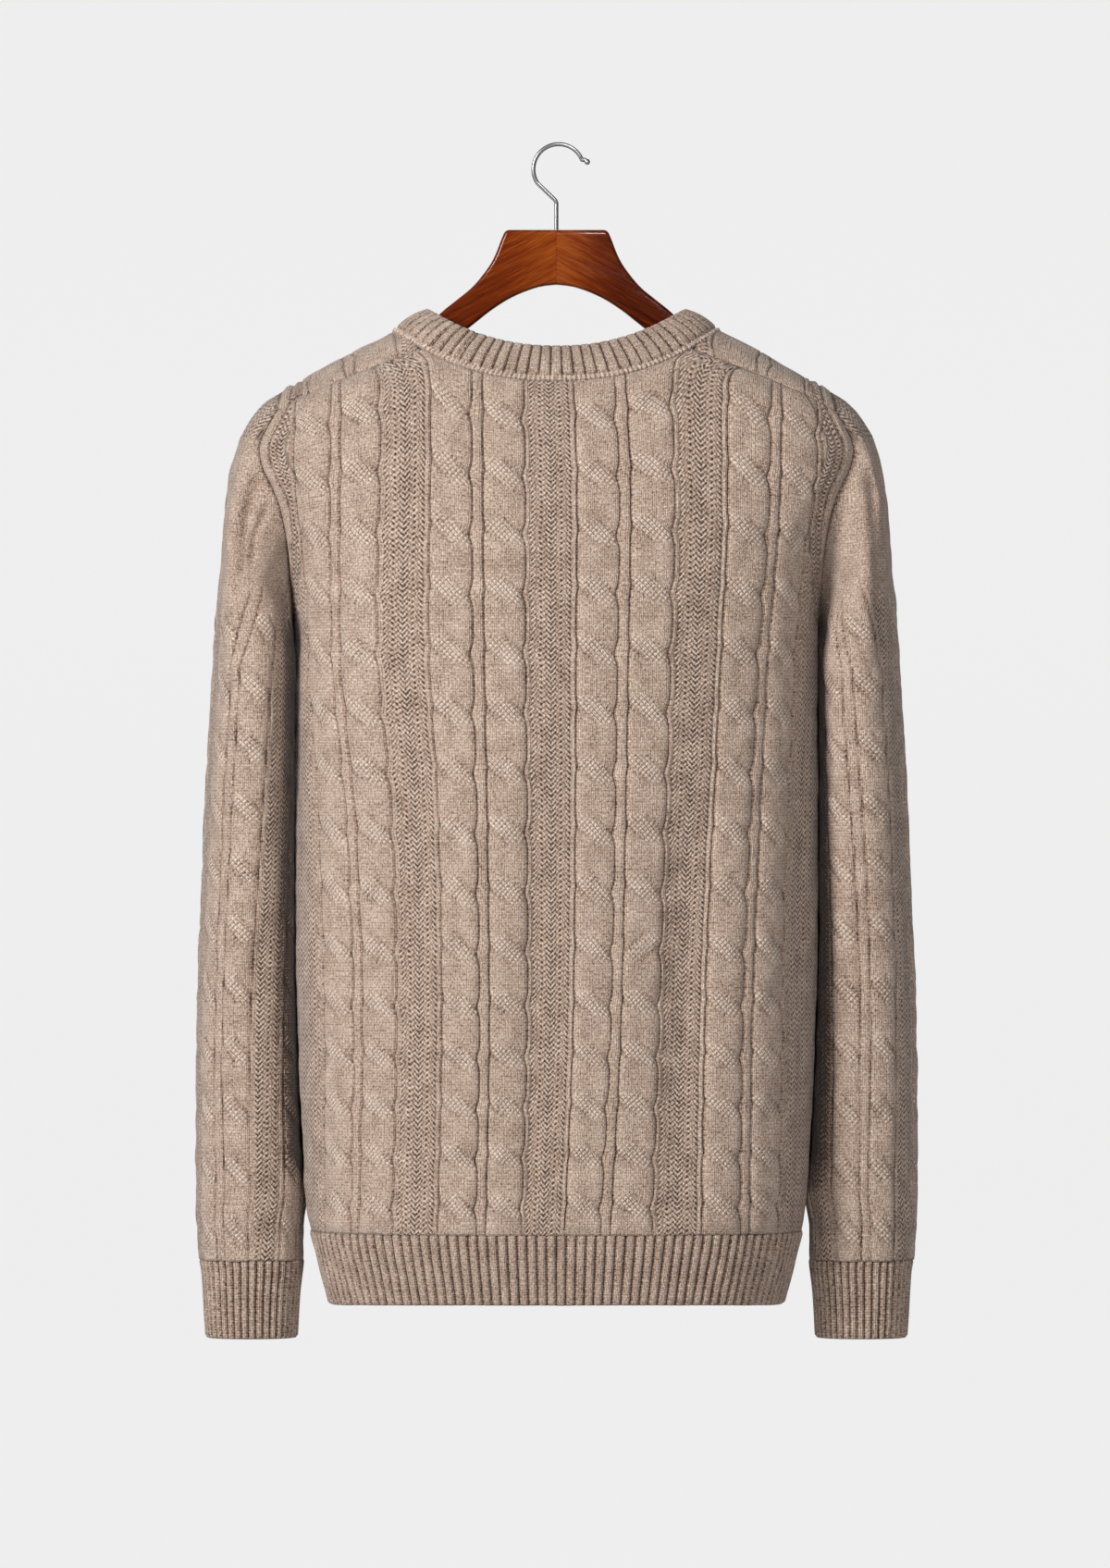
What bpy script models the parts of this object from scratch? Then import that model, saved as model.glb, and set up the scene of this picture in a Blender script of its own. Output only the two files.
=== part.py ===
"""A crew-neck cable knit sweater, filled out as when worn, on a wooden hanger with a wire hook.

Sizes and heights are in millimetres, and MM turns them into the scene's metres. The origin is the
inner top of the hook, which carries everything. X runs across the garment, its back faces -Y, its
front +Y, and Z is up. Each cloth piece is a wall with a plain inside and its knit raised outside.
"""

import math

import bmesh
import bpy
import numpy as np

MM = 0.001
COLLECTION = "cable_knit_sweater"

# Cloth
WALL = 2.4  # plain cloth under the raised knit
SEAM = 0.15  # each piece stops this far from its seam line
POWER = 2.5  # roundness of the body's cross sections, 2 being an ellipse
SLEEVE_POWER = 2.2

# Heights of the main lines
HEM_TOP = -773.4
HEM_END = -825.6
UNDERARM = -351.5
CUFF_TOP = -795.0
CUFF_END = -851.0

# Knit pattern across the body: four pairs of cables with a narrow rib between the two of a pair
PAIR_PITCH = 98.0
PAIR_CENTRES = tuple(PAIR_PITCH * k for k in (-1.5, -0.5, 0.5, 1.5))
CABLE_WIDTH = 28.5
RIB_HALF = 3.5
PAIR_HALF = RIB_HALF + CABLE_WIDTH
STRAND_HIGH = 4.6
STRAND_LOW = 1.5
RIB_RISE = 2.4
MOSS_RISE = 1.2
SLEEVE_KNIT = 2.4  # raised knit at the outer edge of a sleeve
HEM_RIB_PITCH = 7.0
CUFF_RIB_PITCH = 5.8
COLLAR_RIB_PITCH = 8.6
WELT_RISE = 2.0  # ribs of the hem, cuffs and collar

# Cable crossings down the body, from the top one
FIRST_CROSSING = -193.0
CROSSING_STEPS = [42.1] * 9 + [38.3, 36.3, 35.6, 35.6, 34.9]
FRONT_TURN_HEIGHT = FIRST_CROSSING - CROSSING_STEPS[0] / 4  # front rows above this run over the shoulder
SLEEVE_LAST_CROSSING = -773.0
SLEEVE_CROSSING_STEP = 42.9

# Body: height, half width, depth to the back, depth to the front
TORSO = (
    (-826.0, 160.0, 102.0, 106.0),
    (-774.0, 173.5, 110.0, 114.0),
    (-758.0, 176.5, 111.5, 115.5),
    (-740.0, 178.2, 112.5, 117.0),
    (-688.0, 181.2, 114.0, 119.0),
    (-622.0, 184.0, 116.0, 121.0),
    (-556.0, 185.5, 118.0, 123.0),
    (-450.0, 185.7, 120.0, 124.0),
    (-351.5, 185.5, 118.0, 122.0),
    (-330.0, 187.0, 116.5, 120.5),
    (-310.0, 190.0, 114.0, 118.0),
    (-292.0, 194.5, 112.0, 116.0),
    (-275.0, 202.0, 109.5, 113.0),
    (-258.0, 212.0, 106.0, 109.5),
    (-245.0, 220.5, 103.0, 106.5),
    (-230.0, 227.0, 99.5, 102.5),
    (-215.0, 228.0, 95.0, 98.0),
    (-203.0, 224.0, 91.0, 94.0),
    (-191.0, 216.0, 86.5, 90.0),
    (-180.0, 202.0, 81.8, 86.0),
    (-170.6, 185.0, 77.8, 82.0),
    (-160.0, 164.8, 72.0, 77.0),
    (-150.0, 146.3, 66.0, 72.0),
    (-140.0, 127.2, 60.5, 67.0),
    (-134.0, 116.0, 57.0, 64.0),
    (-127.0, 103.5, 52.0, 60.0),
    (-118.0, 88.0, 46.0, 54.0),
)

# Where the armhole seam crosses each height: height, distance from the middle
ARMHOLE = (
    (-351.5, 185.5),
    (-330.0, 186.6),
    (-310.0, 188.2),
    (-292.0, 190.2),
    (-275.0, 192.6),
    (-258.0, 196.4),
    (-245.0, 201.5),
    (-230.0, 208.6),
    (-218.0, 210.8),
    (-203.0, 205.6),
    (-191.0, 197.7),
)
ARMHOLE_TOP_X = 195.0
ARMHOLE_BOW_FRONT = 10.6

# Where the ribs between paired cables lie: height, then the four distances from the middle
RIB_LINES = (
    (-774.0, -141.6, -53.0, 34.0, 132.3),
    (-622.0, -139.0, -50.5, 42.0, 134.3),
    (-483.0, -144.0, -52.0, 45.0, 139.6),
    (-358.0, -155.0, -54.5, 47.0, 146.0),
    (-255.0, -156.0, -55.5, 48.5, 154.0),
    (-160.0, -156.0, -56.0, 44.5, 156.5),
)

# Long soft folds of the body: face, pattern position, depth, half width, top and foot
FOLDS = (
    ("back", 98.0, 5.5, 20.0, -440.0, -765.0),
    ("back", -98.0, 4.0, 22.0, -370.0, -600.0),
    ("back", -4.0, 3.5, 22.0, -430.0, -760.0),
    ("back", 190.0, 2.5, 14.0, -400.0, -640.0),
    ("front", -98.0, 5.0, 22.0, -420.0, -750.0),
    ("front", 98.0, 4.0, 20.0, -380.0, -690.0),
    ("front", 2.0, 3.0, 22.0, -480.0, -765.0),
    ("front", -190.0, 2.5, 14.0, -430.0, -680.0),
)

# Neck: half width and depths of the seam, then of the collar's top edge
NECK_HALF_WIDTH = 116.0
NECK_BACK = 78.0
NECK_FRONT = 98.0
COLLAR_HALF_WIDTH = 90.0
COLLAR_BACK = 63.0
COLLAR_FRONT = 82.0
COLLAR_BACK_HEIGHT = -146.0
COLLAR_SIDE_HEIGHT = -119.0
COLLAR_FRONT_HEIGHT = -191.0
COLLAR_SAG_BACK = 2.2
COLLAR_SAG_FRONT = 2.6
COLLAR_WALL = 4.0
COLLAR_SWELL = 3.0

# The shoulder seam lies behind the crest: its two ends as distance from the middle and height
SHOULDER_SEAM = ((98.0, -147.6), (197.7, -191.0))

# Rows of the front that run over the shoulder, and how all rows bend near the neck
FRONT_TURN_ROWS = 7
FRONT_CORNER_X = 108.0
SHOULDER_BOW_FROM = 150.0
FRONT_NECK_DIP = 25.0
FRONT_NECK_REACH = 105.0
ROWS_BEND_FROM = -330.0
ROWS_TOP = -165.0
ROWS_BEND_POWER = 1.5

# Sleeve, as a distance from the middle: height, outer edge
SLEEVE_OUTER = (
    (-851.0, 251.5),
    (-835.0, 252.6),
    (-820.0, 253.4),
    (-803.0, 254.6),
    (-795.0, 256.0),
    (-783.0, 257.0),
    (-761.0, 258.2),
    (-688.0, 258.2),
    (-609.0, 257.0),
    (-530.0, 253.6),
    (-450.0, 250.2),
    (-372.0, 245.2),
    (-331.0, 242.4),
    (-272.0, 237.6),
    (-252.0, 235.6),
    (-232.6, 232.6),
    (-213.0, 226.8),
    (-206.0, 224.0),
    (-200.0, 220.6),
    (-193.0, 216.0),
    (-186.5, 210.6),
    (-180.0, 203.5),
    (-174.6, 195.0),
)
# Height, inner edge, half depth, how far the middle lies towards the front
SLEEVE_INNER = (
    (-851.0, 187.0, 35.5, 24.0),
    (-820.0, 185.2, 38.5, 23.5),
    (-795.0, 182.4, 42.0, 23.0),
    (-780.0, 181.5, 44.0, 22.0),
    (-761.0, 182.2, 46.0, 21.0),
    (-730.0, 183.6, 48.0, 20.0),
    (-688.0, 185.2, 50.5, 18.0),
    (-609.0, 188.0, 55.0, 15.0),
    (-530.0, 189.4, 60.5, 11.0),
    (-450.0, 190.4, 66.0, 7.0),
    (-372.0, 190.8, 69.0, 3.0),
    (-351.5, 185.5, 69.0, 2.0),
)
SLEEVE_TOP = SLEEVE_OUTER[-1][0]
CAP_RINGS = 9
CAP_END = -374.0
CAP_HALF_DEPTH = 53.0
SLEEVE_PAIRS = 4
# Height, how far round from the underarm the first seen pair lies, left and right sleeve
SLEEVE_TURN = (
    (-795.0, 0.665, 0.258),
    (-688.0, 0.666, 0.256),
    (-560.0, 0.680, 0.250),
    (-393.0, 0.705, 0.226),
    (-250.0, 0.715, 0.215),
)

# Hanger
WOOD_THICKNESS = 14.0
WOOD_BEVEL = 3.0
WOOD_TOP = -60.2
WOOD_REST_GAP = 0.6
ARM_END = 188.0
HOOK_RADIUS = 18.0
HOOK_SHIFT = 1.6
WIRE = 3.0

COLOURS = {
    "knit": (0.40, 0.30, 0.235, 1.0),
    "rib": (0.37, 0.275, 0.215, 1.0),
    "wood": (0.26, 0.055, 0.012, 1.0),
    "steel": (0.62, 0.62, 0.63, 1.0),
}


def curve(xs, ys):
    """A smooth curve through the points that never overshoots them."""
    xs = np.array(xs, float)
    ys = np.array(ys, float)
    step = np.diff(xs)
    slope = np.diff(ys) / step
    lean = np.zeros_like(ys)
    both = slope[:-1] * slope[1:]
    mean = 2 * both / np.where(both > 0, slope[:-1] + slope[1:], 1)
    lean[1:-1] = np.where(both > 0, mean, 0)
    lean[0] = slope[0]
    lean[-1] = slope[-1]

    def at(q):
        q = np.clip(np.asarray(q, float), xs[0], xs[-1])
        i = np.clip(np.searchsorted(xs, q) - 1, 0, len(step) - 1)
        t = (q - xs[i]) / step[i]
        start = (1 + 2 * t) * (1 - t) ** 2 * ys[i] + t * (1 - t) ** 2 * step[i] * lean[i]
        end = t * t * (3 - 2 * t) * ys[i + 1] + t * t * (t - 1) * step[i] * lean[i + 1]
        return start + end

    return at


def columns_of(table):
    """One curve over height for each column of a table after its first."""
    rows = sorted(table)
    heights = [row[0] for row in rows]
    return [curve(heights, [row[i] for row in rows]) for i in range(1, len(rows[0]))]


half_width, back_depth, front_depth = columns_of(TORSO)
(armhole_x,) = columns_of(ARMHOLE)
rib_lines = columns_of(RIB_LINES)
(sleeve_outer,) = columns_of(SLEEVE_OUTER)
sleeve_inner, sleeve_depth, sleeve_forward = columns_of(SLEEVE_INNER)
sleeve_turns = columns_of(SLEEVE_TURN)


def unit(v):
    return v / np.linalg.norm(v, axis=-1, keepdims=True)


def along(points, closed=False):
    """Distance of each point along its line."""
    ends = np.vstack([points, points[:1]]) if closed else points
    return np.concatenate([[0], np.cumsum(np.linalg.norm(np.diff(ends, axis=0), axis=1))])


def resample(points, fractions):
    """Points at these fractions of a line's length."""
    length = along(points)
    at = np.asarray(fractions) * length[-1]
    return np.stack([np.interp(at, length, points[:, i]) for i in range(3)], axis=1)


def solve(distance, low, high):
    """Where distance, which rises from low to high, is zero."""
    low = np.array(low, float)
    high = np.array(high, float)
    for _ in range(40):
        middle = (low + high) / 2
        below = distance(middle) < 0
        low = np.where(below, middle, low)
        high = np.where(below, high, middle)
    return (low + high) / 2


# ---- The body's form


def depth_at(x, z, depth):
    reach = np.clip(np.abs(x) / half_width(z), 0, 1)
    return depth(z) * (1 - reach**POWER) ** (1 / POWER)


def body_normal(p):
    """Outward direction of the body's form at points on it."""
    x, y, z = p[..., 0], p[..., 1], p[..., 2]
    a = half_width(z)
    a_lean = (half_width(z + 0.5) - half_width(z - 0.5)) / 1.0
    b = np.where(y < 0, back_depth(z), front_depth(z))
    b_above = np.where(y < 0, back_depth(z + 0.5), front_depth(z + 0.5))
    b_below = np.where(y < 0, back_depth(z - 0.5), front_depth(z - 0.5))
    gx = np.sign(x) * np.abs(x) ** (POWER - 1) / a**POWER
    gy = np.sign(y) * np.abs(y) ** (POWER - 1) / b**POWER
    gz = -(np.abs(x) ** POWER * a_lean / a ** (POWER + 1))
    gz = gz - np.abs(y) ** POWER * (b_above - b_below) / b ** (POWER + 1)
    return unit(np.stack([gx, gy, gz], axis=-1))


def crest(x):
    """Height of the shoulder line at this distance from the middle."""
    heights = np.linspace(-215.0, -119.0, 200)
    return np.interp(np.abs(x), half_width(heights)[::-1], heights[::-1])


def top_height(x, y):
    """Height of the shoulder's form over a point of the plan."""
    depth = back_depth if y < 0 else front_depth
    low, high = -226.0, float(crest(x))
    return float(solve(lambda z: abs(y) - depth_at(x, z, depth), low, high))


class Face:
    """The back or the front of the body. Positions run from left to right as seen from outside."""

    def __init__(self, name):
        self.name = name
        self.side = 1 if name == "back" else -1
        self.depth = back_depth if name == "back" else front_depth

    def guides(self, z):
        lines = [float(line(z)) for line in rib_lines]
        return lines if self.side == 1 else [-x for x in reversed(lines)]

    def quarter(self, z):
        turn = np.linspace(0, math.pi / 2, 181)
        x = half_width(z) * np.sin(turn) ** (2 / POWER)
        y = self.depth(z) * np.clip(np.cos(turn), 0, 1) ** (2 / POWER)
        arc = np.concatenate([[0], np.cumsum(np.hypot(np.diff(x), np.diff(y)))])
        return arc, x, y

    def edge(self, z):
        """Arc to the seam, and the pattern position there."""
        arc, x, _ = self.quarter(z)
        if z <= UNDERARM + 0.01:
            end = arc[-1]
        else:
            end = np.interp(armhole_x(z), x, arc)
        near = np.interp(self.guides(z)[3], x, arc)
        far = np.interp(-self.guides(z)[0], x, arc)
        return end, PAIR_CENTRES[3] + end - near, PAIR_CENTRES[3] + end - far

    def points(self, positions, z):
        """Points of the plain form at these pattern positions, at one height."""
        arc, x, y = self.quarter(z)
        end, right, left = self.edge(z)
        guides = self.guides(z)
        arcs = [math.copysign(np.interp(abs(g), x, arc), g) for g in guides]
        knots = [-left, *PAIR_CENTRES, right]
        where = np.interp(positions, knots, [-end, *arcs, end])
        across = np.sign(where) * np.interp(np.abs(where), arc, x)
        depth = np.interp(np.abs(where), arc, y)
        return np.stack([self.side * across, -self.side * depth, np.full(len(across), z)], axis=1)

    def fold(self, positions, z):
        total = np.zeros(len(positions))
        for face, centre, depth, half, top, foot in FOLDS:
            if face != self.name:
                continue
            run = np.clip((top - z) / (top - foot), 0, 1)
            total -= depth * np.sin(math.pi * run) ** 0.7 * np.exp(-(((positions - centre) / half) ** 2))
        return total


def pair_columns(centre, cable, rib):
    """Grid lines over one pair of cables: position and what is raised there."""
    strand = cable / 3
    half = []
    for i, kind in enumerate(("groove", "near", "far", "groove")):
        half.append((rib + i * strand, kind))
    left = [(centre - at, {"near": "right", "far": "left"}.get(kind, kind)) for at, kind in half]
    right = [(centre + at, {"near": "left", "far": "right"}.get(kind, kind)) for at, kind in half]
    return [*reversed(left), (centre, "rib"), *right]


def rise_of(kind, row_kind):
    if row_kind == "edge" or kind in ("edge", "groove"):
        return 0.0
    if kind == "rib":
        return RIB_RISE
    if kind == "moss":
        return MOSS_RISE
    high = (kind == "left") == (row_kind == "above")
    return STRAND_HIGH if high else STRAND_LOW


def body_columns():
    """All grid lines over a face. A line beyond the outer pairs is a share of the way to the seam."""
    lines = []
    for centre in PAIR_CENTRES:
        if lines:
            lines.append((centre - PAIR_PITCH / 2, "moss"))
        lines += pair_columns(centre, CABLE_WIDTH, RIB_HALF)
    return lines


SIDE_SHARES = (0.35, 0.75)


def face_positions(face, z):
    _, right, left = face.edge(z)
    lines = body_columns()
    first, last = lines[0][0], lines[-1][0]
    before = [-left + (first + left) * (1 - share) for share in reversed(SIDE_SHARES)]
    after = [last + (right - last) * share for share in SIDE_SHARES]
    return np.array([-left, *before, *[at for at, _ in lines], *after, right])


def face_kinds():
    side = ["moss"] * len(SIDE_SHARES)
    return ["edge", *side, *[kind for _, kind in body_columns()], *side, "edge"]


def body_rows():
    """Heights of the grid rows from the hem up, and whether each lies above or below a crossing."""
    heights = [FIRST_CROSSING]
    for step in CROSSING_STEPS:
        heights.append(heights[-1] - step)
    steps = [CROSSING_STEPS[0], *CROSSING_STEPS, CROSSING_STEPS[-1]]
    rows = []
    for i, z in enumerate(heights):
        rows.append((z + steps[i] / 4, "above"))
        rows.append((z - steps[i + 1] / 4, "below"))
    return [(HEM_TOP + SEAM, "edge"), *reversed(rows)]


# ---- Seams of the shoulders, armholes and neck, for the right half; the left mirrors them


def seam_plane():
    """A point and the forward direction of the plane that holds the shoulder seam."""
    ends = []
    for x, z in SHOULDER_SEAM:
        ends.append(np.array([x, -float(depth_at(x, z, back_depth)), z]))
    normal = unit(body_normal(np.array(ends)).sum(axis=0))
    forward = unit(np.cross(ends[1] - ends[0], normal))
    return ends[0], forward * np.sign(forward[2])


PLANE_POINT, PLANE_FORWARD = seam_plane()


def ahead_of_seam(p):
    """Signed distance in front of the shoulder seam's plane, on either side of the body."""
    right = np.array(p, float)
    right[..., 0] = np.abs(right[..., 0])
    return (right - PLANE_POINT) @ PLANE_FORWARD


def on_shoulder_seam(x, offset):
    """The point of the back of the form at this distance across that lies offset before the seam."""

    def at(z):
        return np.array([x, -float(depth_at(x, z, back_depth)), z])

    z = solve(lambda z: ahead_of_seam(at(float(z))) - offset, -225.0, float(crest(x)) - 0.5)
    return at(float(z))


def neck_point(turn):
    """The neck seam on the form: turn 0 is the middle of the back, half a turn is the front."""
    angle = 2 * math.pi * turn
    x = NECK_HALF_WIDTH * math.copysign(abs(math.sin(angle)) ** (2 / POWER), math.sin(angle))
    deep = math.cos(angle)
    reach = NECK_BACK if deep > 0 else NECK_FRONT
    y = -reach * math.copysign(abs(deep) ** (2 / POWER), deep)
    return np.array([x, y, top_height(x, y)])


def even_turns(count):
    """Turns at which points of the neck seam lie evenly."""
    turns = np.linspace(0, 1, 721)
    length = along(np.array([neck_point(t) for t in turns]))
    return np.interp(np.arange(count) / count * length[-1], length, turns)


def neck_corner():
    """The turn at which the right shoulder seam meets the neck seam."""
    return float(solve(lambda t: ahead_of_seam(neck_point(float(t))), 0.10, 0.24))


def collar_top_point(turn):
    angle = 2 * math.pi * turn
    x = COLLAR_HALF_WIDTH * math.copysign(abs(math.sin(angle)) ** (2 / POWER), math.sin(angle))
    deep = math.cos(angle)
    back = deep > 0
    y = -(COLLAR_BACK if back else COLLAR_FRONT) * math.copysign(abs(deep) ** (2 / POWER), deep)
    low = COLLAR_BACK_HEIGHT if back else COLLAR_FRONT_HEIGHT
    power = COLLAR_SAG_BACK if back else COLLAR_SAG_FRONT
    z = low + (COLLAR_SIDE_HEIGHT - low) * (abs(x) / COLLAR_HALF_WIDTH) ** power
    return np.array([x, y, z])


def seam_frame(points, normals, closed):
    """Directions that lead across a seam, to the right of its run as seen from outside."""
    if closed:
        run = np.roll(points, -1, axis=0) - np.roll(points, 1, axis=0)
    else:
        run = np.gradient(points, axis=0)
    return unit(np.cross(run, normals))


class Neck:
    """The neck seam as one closed line, shared by the collar and both faces."""

    def __init__(self):
        corner = neck_corner()
        count = int(round(self.length() / COLLAR_RIB_PITCH)) * 2
        turns = list(even_turns(count))
        for t in (corner, 1 - corner):
            nearest = int(np.argmin([abs(t - u) for u in turns]))
            turns[nearest] = t
        self.turns = turns
        self.corners = (turns.index(corner), turns.index(1 - corner))
        self.points = np.array([neck_point(t) for t in turns])
        body = body_normal(self.points)
        rise = np.array([collar_top_point(t) for t in turns]) - self.points
        run = np.roll(self.points, -1, axis=0) - np.roll(self.points, 1, axis=0)
        band = unit(np.cross(unit(run), unit(rise)))
        self.normals = unit(body + band * np.sign((band * body).sum(axis=1, keepdims=True)))
        # The seam runs from the back to the right, so its left hand side is the collar's
        self.across = seam_frame(self.points, self.normals, True)

    def length(self):
        turns = np.linspace(0, 1, 361)
        return along(np.array([neck_point(t) for t in turns]))[-1]

    def lines(self, offset, wall):
        """The seam's outer and inner line, moved outwards over the body by offset."""
        outer = self.points + self.across * offset
        return outer, outer - self.normals * wall


NECK = Neck()


def cut_at_corner(inside, outside, offset):
    """The point between two of a line's points that lies offset before the shoulder seam."""
    a = ahead_of_seam(inside)
    b = ahead_of_seam(outside)
    share = (offset - a) / (b - a)
    return inside + (outside - inside) * share


def back_neck_line(wall):
    """Outer and inner neck edge of the back, from its left corner to its right one."""
    right, left = NECK.corners
    count = len(NECK.points)
    order = [i % count for i in range(left, right + count + 1)]
    lines = []
    for line in NECK.lines(SEAM, wall):
        picked = line[order]
        picked[0] = cut_at_corner(line[order[1]], line[order[0]], -SEAM)
        picked[-1] = cut_at_corner(line[order[-2]], line[order[-1]], -SEAM)
        lines.append(picked)
    return lines


def front_neck_line(wall):
    """Outer and inner neck edge of the front, left to right as seen from the front."""
    right, left = NECK.corners
    order = list(range(right, left + 1))
    lines = []
    for line in NECK.lines(SEAM, wall):
        picked = line[order]
        picked[0] = cut_at_corner(line[order[1]], line[order[0]], SEAM)
        picked[-1] = cut_at_corner(line[order[-2]], line[order[-1]], SEAM)
        lines.append(picked)
    return lines


# ---- Rows of the two faces


def bent_height(z, top):
    """A row's height where the rows bend to meet an edge at height top."""
    share = np.clip((z - ROWS_BEND_FROM) / (ROWS_TOP - ROWS_BEND_FROM), 0, 1) ** ROWS_BEND_POWER
    return z + share * (top - ROWS_TOP)


def back_top(x):
    """Height of the back's upper edge at this distance from the middle."""
    x = abs(x)
    if x >= PLANE_POINT[0]:
        return on_shoulder_seam(min(x, SHOULDER_SEAM[1][0]), 0.0)[2]
    y = -NECK_BACK * (1 - (x / NECK_HALF_WIDTH) ** POWER) ** (1 / POWER)
    return top_height(x, y)


def back_rows():
    """Plain outer points of each grid row of the back."""
    face = Face("back")
    sample = face.points(face_positions(face, -230.0), -230.0)
    tops = np.array([back_top(x) for x in sample[:, 0]])
    rows = []
    for z, _ in body_rows():
        heights = bent_height(z, tops)
        row = []
        for i, height in enumerate(heights):
            row.append(face.points(face_positions(face, height)[i : i + 1], height)[0])
        rows.append(np.array(row))
    return rows


def front_low_rows():
    """Plain outer points of the front's rows below the shoulders, left to right from the front."""
    face = Face("front")
    rows = []
    for z, _ in body_rows()[:-1]:
        flat = face.points(face_positions(face, z), z)
        near = np.clip(np.abs(flat[:, 0]) / FRONT_NECK_REACH, 0, 1)
        dip = FRONT_NECK_DIP * (0.5 + 0.5 * np.cos(math.pi * near))
        share = np.clip((z - ROWS_BEND_FROM) / (FRONT_TURN_HEIGHT - ROWS_BEND_FROM), 0, 1)
        heights = z - share**ROWS_BEND_POWER * dip
        row = []
        for i, height in enumerate(heights):
            row.append(face.points(face_positions(face, height)[i : i + 1], height)[0])
        rows.append(np.array(row))
    return rows


def armhole_over(y):
    """Distance from the middle of the armhole seam where it passes over the shoulder."""
    if y > 0:
        edge = float(depth_at(armhole_x(FRONT_TURN_HEIGHT), FRONT_TURN_HEIGHT, front_depth))
        return ARMHOLE_TOP_X + ARMHOLE_BOW_FRONT * (y / edge) ** 2
    end_x = SHOULDER_SEAM[1][0]
    edge = float(depth_at(end_x, SHOULDER_SEAM[1][1], back_depth))
    return ARMHOLE_TOP_X + (end_x - ARMHOLE_TOP_X) * (y / edge) ** 2


def over_shoulder(start, end, edge_share):
    """A line on the form from a point of the front to one of its upper edge, in plan nearly straight."""
    edge_start = float(depth_at(armhole_x(FRONT_TURN_HEIGHT), FRONT_TURN_HEIGHT, front_depth))
    edge_end = -float(depth_at(SHOULDER_SEAM[1][0], SHOULDER_SEAM[1][1], back_depth))
    side = np.sign(start[0]) or 1
    points = []
    for t in np.linspace(0, 1, 60):
        x = start[0] + (end[0] - start[0]) * t
        y = start[1] + (end[1] - start[1]) * t
        edge_y = edge_start + (edge_end - edge_start) * t
        straight = armhole_over(edge_start) * (1 - t) + armhole_over(edge_end) * t
        x += side * edge_share * (armhole_over(edge_y) - straight)
        points.append([x, y, top_height(x, y)])
    points[0] = list(start)
    points[-1] = list(end)
    return np.array(points)


def front_column_ends(xs):
    """Where each front column ends: on the shoulder seam, or on the neck seam nearer the middle."""
    outer, _ = front_neck_line(WALL)
    length = along(outer)
    ends = []
    limit = SHOULDER_SEAM[1][0]
    widest = np.abs(xs).max()
    for x in xs:
        if abs(x) > FRONT_CORNER_X:
            share = (abs(x) - FRONT_CORNER_X) / (widest - FRONT_CORNER_X)
            across = abs(outer[0][0]) + (limit - abs(outer[0][0])) * share
            p = on_shoulder_seam(across, SEAM)
            ends.append([math.copysign(p[0], x), p[1], p[2]])
        else:
            share = 0.5 - 0.5 * x / FRONT_CORNER_X
            ends.append([np.interp(share * length[-1], length, outer[:, i]) for i in range(3)])
    return np.array(ends)


def front_rows():
    rows = front_low_rows()
    starts = rows[-1]
    ends = front_column_ends(starts[:, 0])
    widest = np.abs(starts[:, 0]).max()
    reach = np.abs(starts[:, 0]) - SHOULDER_BOW_FROM
    shares = np.clip(reach / (widest - SHOULDER_BOW_FROM), 0, 1) ** 2
    paths = []
    for start, end, share in zip(starts, ends, shares):
        paths.append(resample(over_shoulder(start, end, share), np.linspace(0, 1, FRONT_TURN_ROWS + 1)))
    for k in range(1, FRONT_TURN_ROWS):
        rows.append(np.array([path[k] for path in paths]))
    return rows


# ---- Meshes


class Shell:
    """Points and triangles of one closed wall."""

    def __init__(self):
        self.points = []
        self.faces = []

    def add(self, points):
        start = len(self.points)
        self.points += [tuple(float(c) * MM for c in p) for p in points]
        return list(range(start, len(self.points)))

    def strip(self, low, high, flip=False):
        """Triangles between two lines. Lines of one length get diagonals that fall to the right."""
        i = j = 0
        spots = self.points
        while i < len(low) - 1 or j < len(high) - 1:
            if len(low) == len(high):
                step_low = i == j
            elif i == len(low) - 1:
                step_low = False
            elif j == len(high) - 1:
                step_low = True
            else:
                ahead_low = math.dist(spots[low[i + 1]], spots[high[j]])
                ahead_high = math.dist(spots[low[i]], spots[high[j + 1]])
                step_low = ahead_low < ahead_high
            if step_low:
                face = (low[i], low[i + 1], high[j])
                i += 1
            else:
                face = (low[i], high[j + 1], high[j])
                j += 1
            if len(set(face)) == 3:
                self.faces.append(face[::-1] if flip else face)

    def ring(self, low, high, flip=False):
        self.strip(low + low[:1], high + high[:1], flip)

    def make(self, name, colour, roughness, metallic=0.0):
        mesh = bpy.data.meshes.new(name)
        mesh.from_pydata(self.points, [], self.faces)
        return finish_object(name, mesh, colour, roughness, metallic)


def material(name, colour, roughness, metallic):
    made = bpy.data.materials.new(name)
    made.use_nodes = True
    shader = made.node_tree.nodes["Principled BSDF"]
    shader.inputs["Base Color"].default_value = COLOURS[colour]
    shader.inputs["Roughness"].default_value = roughness
    shader.inputs["Metallic"].default_value = metallic
    made.diffuse_color = COLOURS[colour]
    return made


def finish_object(name, mesh, colour, roughness, metallic=0.0):
    made = bpy.data.objects.new(name, mesh)
    bpy.data.collections[COLLECTION].objects.link(made)
    mesh.materials.clear()
    mesh.materials.append(material(name + "_finish", colour, roughness, metallic))
    mesh.shade_smooth()
    mesh.set_sharp_from_angle(angle=math.radians(50))
    return made


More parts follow.
